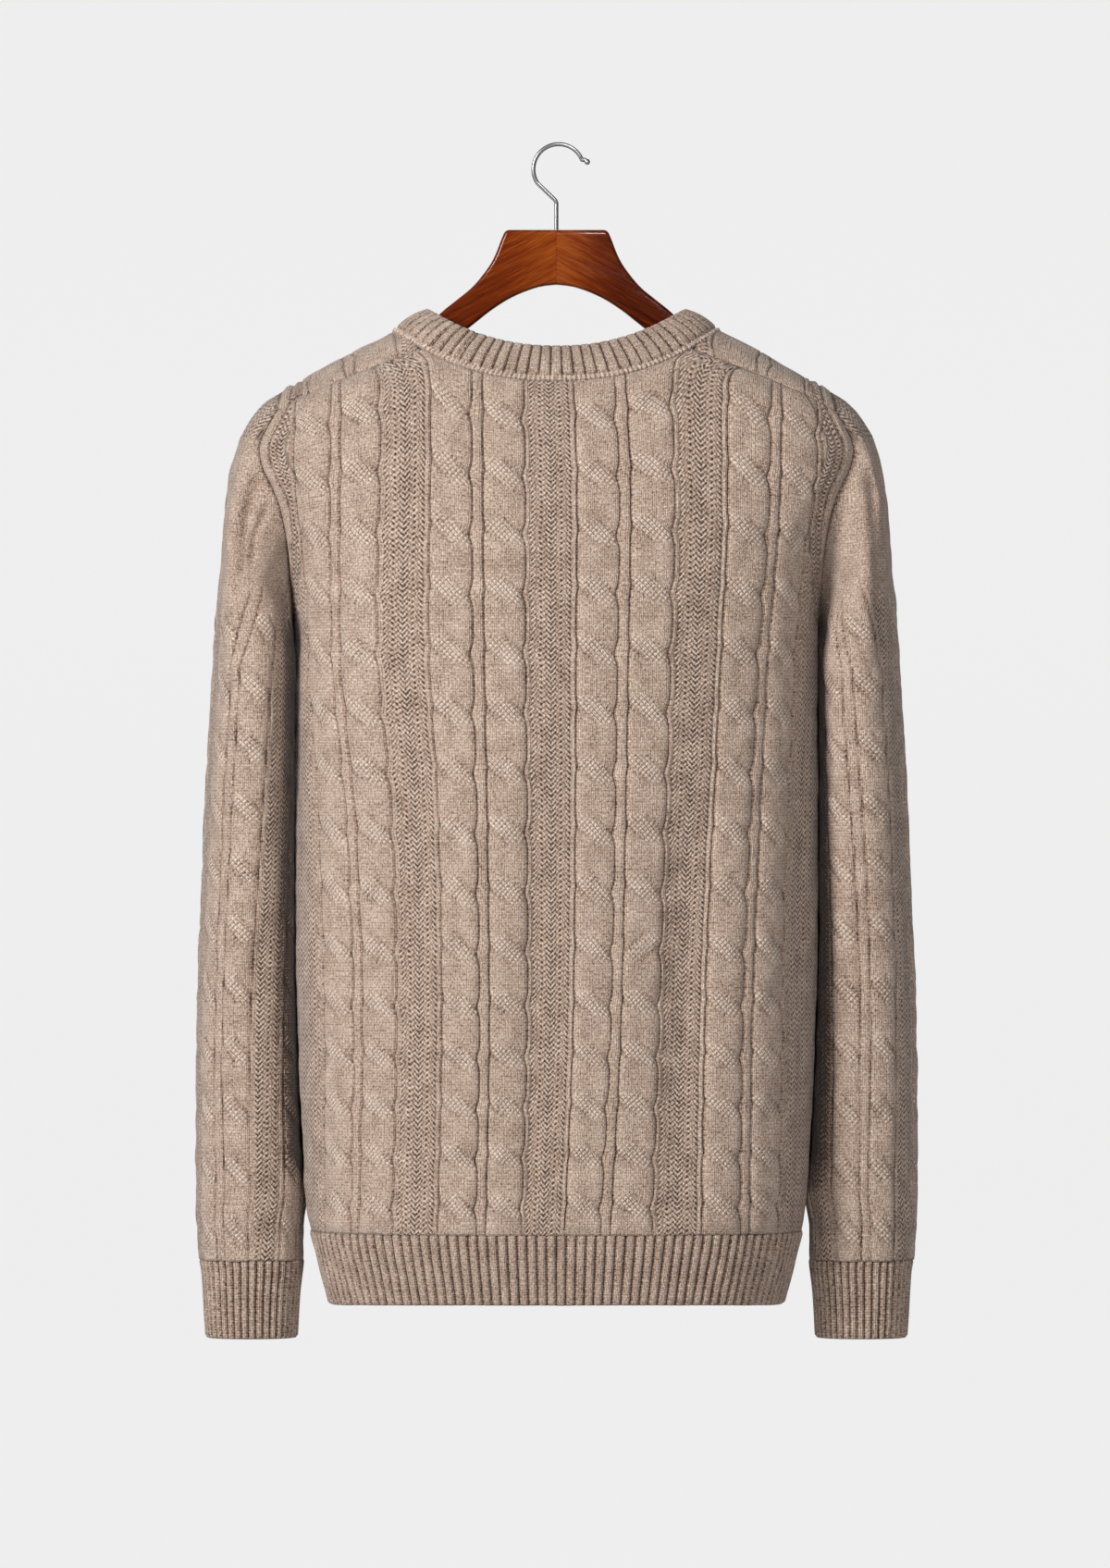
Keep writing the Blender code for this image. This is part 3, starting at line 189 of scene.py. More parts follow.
# Sleeve, as a distance from the middle: height, outer edge
SLEEVE_OUTER = (
    (-851.0, 251.5),
    (-835.0, 252.6),
    (-820.0, 253.4),
    (-803.0, 254.6),
    (-795.0, 256.0),
    (-783.0, 257.0),
    (-761.0, 258.2),
    (-688.0, 258.2),
    (-609.0, 257.0),
    (-530.0, 253.6),
    (-450.0, 250.2),
    (-372.0, 245.2),
    (-331.0, 242.4),
    (-272.0, 237.6),
    (-252.0, 235.6),
    (-232.6, 232.6),
    (-213.0, 226.8),
    (-206.0, 224.0),
    (-200.0, 220.6),
    (-193.0, 216.0),
    (-186.5, 210.6),
    (-180.0, 203.5),
    (-174.6, 195.0),
)
# Height, inner edge, half depth, how far the middle lies towards the front
SLEEVE_INNER = (
    (-851.0, 187.0, 35.5, 24.0),
    (-820.0, 185.2, 38.5, 23.5),
    (-795.0, 182.4, 42.0, 23.0),
    (-780.0, 181.5, 44.0, 22.0),
    (-761.0, 182.2, 46.0, 21.0),
    (-730.0, 183.6, 48.0, 20.0),
    (-688.0, 185.2, 50.5, 18.0),
    (-609.0, 188.0, 55.0, 15.0),
    (-530.0, 189.4, 60.5, 11.0),
    (-450.0, 190.4, 66.0, 7.0),
    (-372.0, 190.8, 69.0, 3.0),
    (-351.5, 185.5, 69.0, 2.0),
)
SLEEVE_TOP = SLEEVE_OUTER[-1][0]
CAP_RINGS = 9
CAP_END = -374.0
CAP_HALF_DEPTH = 53.0
SLEEVE_PAIRS = 4
# Height, how far round from the underarm the first seen pair lies, left and right sleeve
SLEEVE_TURN = (
    (-795.0, 0.665, 0.258),
    (-688.0, 0.666, 0.256),
    (-560.0, 0.680, 0.250),
    (-393.0, 0.705, 0.226),
    (-250.0, 0.715, 0.215),
)

# Hanger
WOOD_THICKNESS = 14.0
WOOD_BEVEL = 3.0
WOOD_TOP = -60.2
WOOD_REST_GAP = 0.6
ARM_END = 188.0
HOOK_RADIUS = 18.0
HOOK_SHIFT = 1.6
WIRE = 3.0


def curve(xs, ys):
    """A smooth curve through the points that never overshoots them."""
    xs = np.array(xs, float)
    ys = np.array(ys, float)
    step = np.diff(xs)
    slope = np.diff(ys) / step
    lean = np.zeros_like(ys)
    both = slope[:-1] * slope[1:]
    mean = 2 * both / np.where(both > 0, slope[:-1] + slope[1:], 1)
    lean[1:-1] = np.where(both > 0, mean, 0)
    lean[0] = slope[0]
    lean[-1] = slope[-1]

    def at(q):
        q = np.clip(np.asarray(q, float), xs[0], xs[-1])
        i = np.clip(np.searchsorted(xs, q) - 1, 0, len(step) - 1)
        t = (q - xs[i]) / step[i]
        start = (1 + 2 * t) * (1 - t) ** 2 * ys[i] + t * (1 - t) ** 2 * step[i] * lean[i]
        end = t * t * (3 - 2 * t) * ys[i + 1] + t * t * (t - 1) * step[i] * lean[i + 1]
        return start + end

    return at


def columns_of(table):
    """One curve over height for each column of a table after its first."""
    rows = sorted(table)
    heights = [row[0] for row in rows]
    return [curve(heights, [row[i] for row in rows]) for i in range(1, len(rows[0]))]


half_width, back_depth, front_depth = columns_of(TORSO)
(armhole_x,) = columns_of(ARMHOLE)
rib_lines = columns_of(RIB_LINES)
(sleeve_outer,) = columns_of(SLEEVE_OUTER)
sleeve_inner, sleeve_depth, sleeve_forward = columns_of(SLEEVE_INNER)
sleeve_turns = columns_of(SLEEVE_TURN)


def unit(v):
    return v / np.linalg.norm(v, axis=-1, keepdims=True)


def smooth(t):
    """Rises softly from 0 to 1, and stays there."""
    t = np.clip(t, 0, 1)
    return t * t * (3 - 2 * t)


def bell(away, width, power=2):
    """1 at nothing, falling to nothing on both sides."""
    return np.exp(-((away / width) ** power))


def bowed(wave, power=POWER):
    """A sine or a cosine, bent so that the two draw a rounded box instead of an ellipse."""
    return np.sign(wave) * np.abs(wave) ** (2 / power)


def to_whole(value):
    """Distance to the nearest whole number."""
    return np.abs((value + 0.5) % 1.0 - 0.5)


def along(points, closed=False):
    """Distance of each point along its line."""
    ends = np.vstack([points, points[:1]]) if closed else points
    return np.concatenate([[0], np.cumsum(np.linalg.norm(np.diff(ends, axis=0), axis=1))])


def resample(points, fractions):
    """Points at these fractions of a line's length."""
    length = along(points)
    at = np.asarray(fractions) * length[-1]
    return np.stack([np.interp(at, length, points[:, i]) for i in range(3)], axis=1)


def solve(distance, low, high):
    """Where distance, which rises from low to high, is zero."""
    low = np.array(low, float)
    high = np.array(high, float)
    for _ in range(40):
        middle = (low + high) / 2
        below = distance(middle) < 0
        low = np.where(below, middle, low)
        high = np.where(below, high, middle)
    return (low + high) / 2


# ---- The body's form


def depth_at(x, z, depth):
    """Depth of the form at this distance from the middle, depth being its back's or its front's."""
    reach = np.clip(np.abs(x) / half_width(z), 0, 1)
    return depth(z) * (1 - reach**POWER) ** (1 / POWER)


def depth_there(y, z):
    """Half the form's thickness at its middle: to the back where y is negative, else to the front."""
    return np.where(y < 0, back_depth(z), front_depth(z))


def body_side(y, z):
    """Distance from the middle of the body's side, at this depth and height."""
    return half_width(z) * (1 - np.clip(np.abs(y) / depth_there(y, z), 0, 1) ** POWER) ** (1 / POWER)


def body_normal(p):
    """Outward direction of the body's form at points on it."""
    x, y, z = p[..., 0], p[..., 1], p[..., 2]
    a = half_width(z)
    b = depth_there(y, z)
    a_lean = half_width(z + 0.5) - half_width(z - 0.5)
    b_lean = depth_there(y, z + 0.5) - depth_there(y, z - 0.5)
    gx = np.sign(x) * np.abs(x) ** (POWER - 1) / a**POWER
    gy = np.sign(y) * np.abs(y) ** (POWER - 1) / b**POWER
    gz = -(np.abs(x) ** POWER * a_lean / a ** (POWER + 1))
    gz = gz - np.abs(y) ** POWER * b_lean / b ** (POWER + 1)
    return unit(np.stack([gx, gy, gz], axis=-1))


LOWEST_TOP = -226.0  # the shoulders' form is looked for from here up to their crest


def crest(x):
    """Height of the shoulder line at this distance from the middle."""
    heights = np.linspace(-215.0, -119.0, 200)
    return np.interp(np.abs(x), half_width(heights)[::-1], heights[::-1])


def top_height(x, y):
    """Height of the form over a point, or many points, of the plan."""

    def distance(z):
        depth = np.where(y < 0, depth_at(x, z, back_depth), depth_at(x, z, front_depth))
        return np.abs(y) - depth

    return solve(distance, np.full(np.shape(x), LOWEST_TOP), crest(x))


class Face:
    """The back or the front of the body. Positions run from left to right as seen from outside."""

    def __init__(self, name):
        self.name = name
        self.side = 1 if name == "back" else -1
        self.depth = back_depth if name == "back" else front_depth

    def guides(self, z):
        """Where the ribs between paired cables lie, left to right as seen on this face."""
        lines = [float(line(z)) for line in rib_lines]
        return lines if self.side == 1 else [-x for x in reversed(lines)]

    def quarter(self, z):
        """Half of the face's level outline: distances along it and points on it."""
        turn = np.linspace(0, math.pi / 2, 181)
        x = half_width(z) * np.sin(turn) ** (2 / POWER)
        y = self.depth(z) * np.clip(np.cos(turn), 0, 1) ** (2 / POWER)
        arc = np.concatenate([[0], np.cumsum(np.hypot(np.diff(x), np.diff(y)))])
        return arc, x, y

    def edge(self, z):
        """Arc to the seam, and the pattern position there."""
        arc, x, _ = self.quarter(z)
        if z <= UNDERARM + 0.01:
            end = arc[-1]
        else:
            end = np.interp(armhole_x(z), x, arc)
        near = np.interp(self.guides(z)[3], x, arc)
        far = np.interp(-self.guides(z)[0], x, arc)
        return end, PAIR_CENTRES[3] + end - near, PAIR_CENTRES[3] + end - far

    def points(self, positions, z):
        """Points of the plain form at these pattern positions, at one height."""
        arc, x, y = self.quarter(z)
        end, right, left = self.edge(z)
        guides = self.guides(z)
        arcs = [math.copysign(np.interp(abs(g), x, arc), g) for g in guides]
        knots = [-left, *PAIR_CENTRES, right]
        where = np.interp(positions, knots, [-end, *arcs, end])
        across = np.sign(where) * np.interp(np.abs(where), arc, x)
        depth = np.interp(np.abs(where), arc, y)
        return np.stack([self.side * across, -self.side * depth, np.full(len(across), z)], axis=1)

    def fold(self, positions, z):
        """How far the soft folds go in or out."""
        total = np.zeros(np.shape(positions))
        for face, centre, depth, half, top, foot in FOLDS:
            if face != self.name:
                continue
            run = np.clip((top - z) / (top - foot), 0, 1)
            total -= depth * np.sin(math.pi * run) ** 0.7 * bell(positions - centre, half)
        return total


# ---- Seams of the shoulders, armholes and neck, for the right half; the left mirrors them


def seam_plane():
    """A point and the forward direction of the plane that holds the shoulder seam."""
    ends = []
    for x, z in SHOULDER_SEAM:
        ends.append(np.array([x, -float(depth_at(x, z, back_depth)), z]))
    normal = unit(body_normal(np.array(ends)).sum(axis=0))
    forward = unit(np.cross(ends[1] - ends[0], normal))
    return ends[0], forward * np.sign(forward[2])


PLANE_POINT, PLANE_FORWARD = seam_plane()


def ahead_of_seam(p):
    """Signed distance in front of the shoulder seam's plane, on either side of the body."""
    right = np.array(p, float)
    right[..., 0] = np.abs(right[..., 0])
    return (right - PLANE_POINT) @ PLANE_FORWARD


def on_shoulder_seam(x, offset):
    """The point of the back of the form at this distance across that lies offset before the seam."""

    def at(z):
        return np.array([x, -float(depth_at(x, z, back_depth)), z])

    z = solve(lambda z: ahead_of_seam(at(float(z))) - offset, -225.0, float(crest(x)) - 0.5)
    return at(float(z))


def neck_point(turn):
    """The neck seam on the form: turn 0 is the middle of the back, half a turn is the front."""
    angle = 2 * math.pi * turn
    deep = math.cos(angle)
    x = NECK_HALF_WIDTH * bowed(math.sin(angle))
    y = -(NECK_BACK if deep > 0 else NECK_FRONT) * bowed(deep)
    return np.array([x, y, top_height(x, y)])


def even_turns(count):
    """Turns at which points of the neck seam lie evenly."""
    turns = np.linspace(0, 1, 721)
    length = along(np.array([neck_point(t) for t in turns]))
    return np.interp(np.arange(count) / count * length[-1], length, turns)


def neck_corner():
    """The turn at which the right shoulder seam meets the neck seam."""
    return float(solve(lambda t: ahead_of_seam(neck_point(float(t))), 0.10, 0.24))


def collar_top_point(turn):
    """The same for the collar's upper edge, which sags at the back and more at the front."""
    angle = 2 * math.pi * turn
    deep = math.cos(angle)
    if deep > 0:
        reach, low, sag = COLLAR_BACK, COLLAR_BACK_HEIGHT, COLLAR_SAG_BACK
    else:
        reach, low, sag = COLLAR_FRONT, COLLAR_FRONT_HEIGHT, COLLAR_SAG_FRONT
    x = COLLAR_HALF_WIDTH * bowed(math.sin(angle))
    z = low + (COLLAR_SIDE_HEIGHT - low) * (abs(x) / COLLAR_HALF_WIDTH) ** sag
    return np.array([x, -reach * bowed(deep), z])


class Neck:
    """The neck seam as one closed line, shared by the collar and both faces."""

    def __init__(self):
        corner = neck_corner()
        count = int(round(self.length() / COLLAR_RIB_PITCH)) * 2
        turns = list(even_turns(count))
        for t in (corner, 1 - corner):
            nearest = int(np.argmin([abs(t - u) for u in turns]))
            turns[nearest] = t
        self.turns = turns
        self.corners = (turns.index(corner), turns.index(1 - corner))
        self.points = np.array([neck_point(t) for t in turns])
        body = body_normal(self.points)
        rise = np.array([collar_top_point(t) for t in turns]) - self.points
        run = np.roll(self.points, -1, axis=0) - np.roll(self.points, 1, axis=0)
        band = unit(np.cross(unit(run), unit(rise)))
        normals = unit(body + band * np.sign((band * body).sum(axis=1, keepdims=True)))
        # The seam runs from the back to the right, so its left hand side is the collar's
        self.across = unit(np.cross(run, normals))

    def length(self):
        turns = np.linspace(0, 1, 361)
        return along(np.array([neck_point(t) for t in turns]))[-1]

    def line(self, offset):
        """The seam's line, moved outwards over the body by offset."""
        return self.points + self.across * offset


NECK = Neck()


def cut_at_corner(inside, outside, offset):
    """The point between two of a line's points that lies offset before the shoulder seam."""
    a = ahead_of_seam(inside)
    b = ahead_of_seam(outside)
    share = (offset - a) / (b - a)
    return inside + (outside - inside) * share


def neck_edge(order, offset):
    """These points of the neck seam, cut off where the shoulder seams meet it."""
    edge = NECK.line(SEAM)[order]
    first = cut_at_corner(edge[1], edge[0], offset)
    last = cut_at_corner(edge[-2], edge[-1], offset)
    return np.array([first, *edge[1:-1], last])


def back_neck_edge():
    """Neck edge of the back, from its left corner to its right one."""
    right, left = NECK.corners
    count = len(NECK.points)
    return neck_edge([i % count for i in range(left, right + count + 1)], -SEAM)


def front_neck_edge():
    """Neck edge of the front, left to right as seen from the front."""
    right, left = NECK.corners
    return neck_edge(list(range(right, left + 1)), SEAM)


# ---- Rows of the two faces


def back_top(x):
    """Height of the back's upper edge at this distance from the middle."""
    x = abs(x)
    if x >= PLANE_POINT[0]:
        return on_shoulder_seam(min(x, SHOULDER_SEAM[1][0]), 0.0)[2]
    y = -NECK_BACK * (1 - (x / NECK_HALF_WIDTH) ** POWER) ** (1 / POWER)
    return top_height(x, y)


def armhole_over(y):
    """Distance from the middle of the armhole seam where it passes over the shoulder."""
    if y > 0:
        edge = float(depth_at(armhole_x(FRONT_TURN_HEIGHT), FRONT_TURN_HEIGHT, front_depth))
        return ARMHOLE_TOP_X + ARMHOLE_BOW_FRONT * (y / edge) ** 2
    end_x = SHOULDER_SEAM[1][0]
    edge = float(depth_at(end_x, SHOULDER_SEAM[1][1], back_depth))
    return ARMHOLE_TOP_X + (end_x - ARMHOLE_TOP_X) * (y / edge) ** 2


def front_column_ends(xs):
    """Where the front's columns end: on the shoulder seam, or nearer the middle on the neck seam."""
    edge = front_neck_edge()
    corner = abs(edge[0][0])
    length = along(edge)
    widest = np.abs(xs).max()
    ends = np.zeros((len(xs), 3))
    for end, x in zip(ends, xs):
        if abs(x) > FRONT_CORNER_X:
            share = (abs(x) - FRONT_CORNER_X) / (widest - FRONT_CORNER_X)
            end[:] = on_shoulder_seam(corner + (SHOULDER_SEAM[1][0] - corner) * share, SEAM)
            end[0] = math.copysign(end[0], x)
    # Near the middle of the neck a column ends straight above its foot
    straight = np.interp(-xs * corner / FRONT_CORNER_X, np.maximum.accumulate(-edge[:, 0]), length)
    even = (0.5 - 0.5 * xs / FRONT_CORNER_X) * length[-1]
    mix = smooth((np.abs(xs) - 30.0) / 66.0)
    at = straight * (1 - mix) + even * mix
    on_neck = np.abs(xs) <= FRONT_CORNER_X
    for i in range(3):
        ends[on_neck, i] = np.interp(at[on_neck], length, edge[:, i])
    return ends


def armhole_line(back, front):
    """The right armhole seam: from the underarm up the back, over the shoulder and down the front."""
    corner = on_shoulder_seam(SHOULDER_SEAM[1][0], 0.0)
    underarm = np.array([float(half_width(UNDERARM)), 0.0, UNDERARM])
    rising = [row[-1] for row in back if row[-1][2] > UNDERARM + 1.0]
    falling = [row[0] for row in front if row[0][2] > UNDERARM + 1.0]
    return np.array([underarm, *rising, corner, *reversed(falling)])


def oval(share, outer, inner, half_depth, forward):
    """A sleeve ring's points. share runs from the underarm round the back, outer and inner are its ends."""
    turn = np.linspace(0, 1, 241) * 2 * math.pi
    middle = (outer + inner) / 2 + np.array([0, forward, 0])
    across = bowed(np.cos(turn), SLEEVE_POWER)[:, None] * ((outer - inner) / 2)
    deep = bowed(np.sin(turn), SLEEVE_POWER)[:, None] * np.array([0, half_depth, 0])
    return resample(middle - across - deep, np.asarray(share) % 1.0)


def body_ring(z, shares):
    """A level ring of the body, from the middle of the back round to the right."""
    turn = np.linspace(0, 2 * math.pi, 721)
    x = half_width(z) * bowed(np.sin(turn))
    deep = bowed(np.cos(turn))
    y = -deep * np.where(deep > 0, back_depth(z), front_depth(z))
    return resample(np.stack([x, y, np.full(len(x), z)], axis=1), shares)


# Half outlines of the wood: distance from the middle and height
WOOD_UPPER = (
    (36.4, -60.2),
    (39.6, -67.6),
    (42.6, -75.6),
    (46.4, -83.5),
    (52.0, -91.6),
    (60.0, -101.0),
    (70.0, -109.3),
    (79.0, -116.4),
    (88.0, -124.0),
)
WOOD_LOWER = (
    (0.0, -99.3),
    (10.0, -100.4),
    (20.0, -103.3),
    (33.0, -109.0),
    (46.0, -117.2),
    (58.5, -127.0),
    (72.0, -137.5),
    (95.0, -152.0),
    (125.0, -167.0),
    (155.0, -180.5),
    (180.0, -190.0),
)
REST_XS = (97.0, 106.0, 115.0, 119.0, 128.0, 145.0, 160.0, 175.0, 185.0)


def arm_top(x):
    """Height of an arm's upper edge where the shoulder or the collar rests on it."""
    seat = float(crest(max(x, NECK_HALF_WIDTH)))
    if x < NECK_HALF_WIDTH:
        share = (NECK_HALF_WIDTH - x) / (NECK_HALF_WIDTH - COLLAR_HALF_WIDTH)
        seat += (COLLAR_SIDE_HEIGHT - seat) * share
    lean = (float(crest(x + 1)) - float(crest(x - 1))) / 2
    cover = WALL * math.hypot(1, lean)
    if x < NECK_HALF_WIDTH + 4.0:
        cover = COLLAR_WALL * 1.25
    return seat - cover - WOOD_REST_GAP


# ---- Fine grids over the two faces

LEVELS = np.arange(-776.0, -130.0, 2.0)
SIDE_STEPS = 16
MOSS_COLUMN = PAIR_PITCH / 15
MOSS_DOT = PAIR_PITCH / 36  # from one light stitch of the moss to the next
MOSS_ROWS = 3.8  # height of two rows of moss
ROW_MM = 2.25  # height of one row of the grids
WALE = 2.37  # width of one column of plain stitches
LINE_WIDTH = 3.3  # one light rib beside the moss stitch


def half_pair():
    """Grid lines on one side of a pair's middle, closest where a groove runs."""
    rib = (0.0, 1.3, 2.3, 3.0, RIB_HALF, 4.0, 4.7, 5.8)
    edge = PAIR_HALF + np.array((-2.8, -1.5, -0.6, 0.0, 0.6, LINE_WIDTH / 2, 2.7, LINE_WIDTH, 4.1))
    moss = PAIR_HALF + np.array((6.5, 10.0, 13.5, PAIR_PITCH / 2 - PAIR_HALF))
    return np.array([*rib, *np.linspace(7.1, edge[0] - 1.3, 16), *edge, *moss])


def core_positions():
    """Pattern positions of the columns that both faces have at every height."""
    half = half_pair()
    lines = [centre + side * half for centre in PAIR_CENTRES for side in (-1, 1)]
    lines = np.unique(np.round(np.concatenate(lines), 4))
    reach = PAIR_CENTRES[-1] + PAIR_HALF + LINE_WIDTH + 0.61
    return lines[np.abs(lines) < reach]


CORE = core_positions()


def fine_positions(face, z):
    """Those columns with the ones beside them, which spread out to the seams."""
    _, right, left = face.edge(z)
    share = np.linspace(0, 1, SIDE_STEPS + 1)
    before = -left + (CORE[0] + left) * share[:-1]
    after = CORE[-1] + (right - CORE[-1]) * share[1:]
    return np.concatenate([before, CORE, after])


class FaceMap:
    """A face's form at many levels, from which points at any height are read."""

    def __init__(self, name):
        self.face = Face(name)
        positions = np.array([fine_positions(self.face, z) for z in LEVELS])
        points = np.array([self.face.points(p, z) for p, z in zip(positions, LEVELS)])
        self.tables = (positions, points[:, :, 0], points[:, :, 1])

    def at(self, heights):
        """Pattern positions and points at heights[row, column]."""
        read = []
        for table in self.tables:
            columns = [np.interp(heights[:, j], LEVELS, table[:, j]) for j in range(table.shape[1])]
            read.append(np.stack(columns, axis=1))
        return read[0], np.stack([read[1], read[2], heights], axis=-1)


def crossing_phase(z):
    """How many crossings lie above this height, as a running number."""
    heights = [FIRST_CROSSING]
    for step in CROSSING_STEPS:
        heights.append(heights[-1] - step)
    above = [heights[0] + CROSSING_STEPS[0] * k for k in (3, 2, 1)]
    below = [heights[-1] - CROSSING_STEPS[-1] * k for k in (1, 2)]
    line = np.array([*above, *heights, *below])
    return np.interp(-np.asarray(z), -line, np.arange(len(line)) - 3.0)


# ---- Knit relief

CROSSING_HALF = 0.22  # half of the stretch in which two strands change sides, in crossings
SHOWN_TO, SHOWN_FADE = 0.17, 0.14  # how far from its middle a crossing is seen, and how it ends
CABLE_RISE, RIB_RISE, LINE_RISE, MOSS_RISE = 3.3, 2.6, 2.3, 1.5
GROOVE_WIDTH = 0.55
BAND_HALF = 7.3  # half width of the strand on top
PINCH_LEFT = 0.9  # a cable is narrower by this at its left where it crosses
PINCH_RIGHT = 2.3
BODY_PAIR = {
    "pitch": PAIR_PITCH,
    "rib": RIB_HALF,
    "cable": CABLE_WIDTH,
    "line": LINE_WIDTH,
    "step": CROSSING_STEPS[0],
}
SLEEVE_PAIR = {"pitch": 74.0, "rib": 3.6, "cable": 20.6, "line": 3.6, "step": SLEEVE_CROSSING_STEP}


def in_pair(position, pitch):
    """Distance from the middle of the nearest pair of cables."""
    return (position + pitch / 2) % pitch - pitch / 2


def past_crossing(phase):
    """Distance below the nearest crossing as a share of a step, from -0.5 to 0.5."""
    return phase - np.round(phase)


def rounded(away, half, power):
    """1 in the middle of a strand, and nothing beyond its edges."""
    return np.sqrt(np.clip(1 - (np.abs(away) / half) ** power, 0, 1))


def cable_relief(s, phase, half, step, flipped):
    """Height over one cable, the strand that lies on top, and a mask of painted shade along the creases
    beside it.
    """
    s = np.where(flipped, -s, s)
    part = past_crossing(phase)
    turn = np.clip((part + CROSSING_HALF) / (2 * CROSSING_HALF), 0, 1)
    middle = half * (smooth(turn) - 0.5)
    lean = half * 6 * turn * (1 - turn) / (2 * CROSSING_HALF * step)
    across = (s - middle) / np.sqrt(1 + lean**2)
    width = BAND_HALF * half / (CABLE_WIDTH / 2)
    shown = 1 - smooth((np.abs(part) - SHOWN_TO) / SHOWN_FADE)
    band = rounded(across, width, 5) * rounded(s, half * 0.995, 6) * 1.03
    dip = bell(np.clip(np.abs(across) - width, 0, None), 2.0) * shown
    under = rounded(s, half, 5) * (1 - 0.3 * dip)
    on_top = band * shown + under * (1 - shown)
    rise = CABLE_RISE * np.where(np.abs(across) < width, np.maximum(on_top, under), under)
    patch = (1 - smooth(np.abs(across) - width + 1.0)) * shown
    crease_shade = bell(np.abs(across) - width, 0.8) * shown
    return rise, np.where(flipped, -patch, patch), crease_shade


def pinched(position, phase, pair):
    """Where the grid lines of the pattern lie, drawn in to each cable where it crosses."""
    place = in_pair(position, pair["pitch"])
    outer = pair["rib"] + pair["cable"]
    knots = [-pair["pitch"] / 2, -outer, -pair["rib"], pair["rib"], outer, pair["pitch"] / 2]
    part = past_crossing(phase)
    left = np.interp(place, knots, [0, 1, 0, 1, 0, 0]) * bell(part + 0.07, 0.13)
    right = np.interp(place, knots, [0, 0, 1, 0, 1, 0]) * bell(part - 0.04, 0.15)
    return position + (PINCH_LEFT * left - PINCH_RIGHT * right) * pair["cable"] / CABLE_WIDTH


def pattern(position, phase, pair, flipped=False):
    """Relief of a pair of cables and its neighbours, with masks: moss, patch, and painted shade along the
    creases and the grooves.
    """
    half = pair["cable"] / 2
    place = in_pair(position, pair["pitch"])
    a = np.abs(place)
    s = np.where(place < 0, -1, 1) * (a - pair["rib"] - half)
    rise, patch, crease_shade = cable_relief(s, phase, half, pair["step"], flipped)
    on_cable = np.abs(s) < half
    outer = pair["rib"] + pair["cable"]
    rib = RIB_RISE * rounded(a, pair["rib"], 3.5)
    line = LINE_RISE * rounded(a - outer - pair["line"] / 2, pair["line"] / 2, 2.4)
    moss = smooth((a - outer - pair["line"] + 0.5) / 1.2)
    relief = np.maximum.reduce([np.where(on_cable, rise, 0), rib, line, moss * MOSS_RISE])
    away = np.minimum(np.abs(a - pair["rib"]), np.abs(a - outer))
    return relief, {
        "moss": moss,
        "patch": np.where(on_cable, patch, 0),
        # These two masks paint shade: along the creases beside the strand on top, and along the grooves by
        # each cable.
        "crease_shade": np.where(on_cable, crease_shade, 0),
        "groove": bell(away, GROOVE_WIDTH),
    }


def scale(masks, keys, share):
    """Takes these masks down to a share of what they were."""
    for key in keys:
        masks[key] = masks[key] * share


def soft_noise(x, y, seed):
    """Small smooth unevenness from -1 to 1."""
    total = np.zeros(np.shape(x))
    rng = np.random.default_rng(seed)
    for _ in range(7):
        angle = rng.uniform(0, math.pi)
        wave = rng.uniform(0.012, 0.05)
        along_wave = (x * math.cos(angle) + y * math.sin(angle)) * wave
        total += np.sin(along_wave * 2 * math.pi + rng.uniform(0, 6.3))
    return total / 3.5


# ---- Meshes of cloth

UV_SCALE = 0.01  # units of the uv map for a millimetre of cloth


def put(name, data):
    """A new object in the scene."""
    made = bpy.data.objects.new(name, data)
    bpy.context.scene.collection.objects.link(made)
    return made


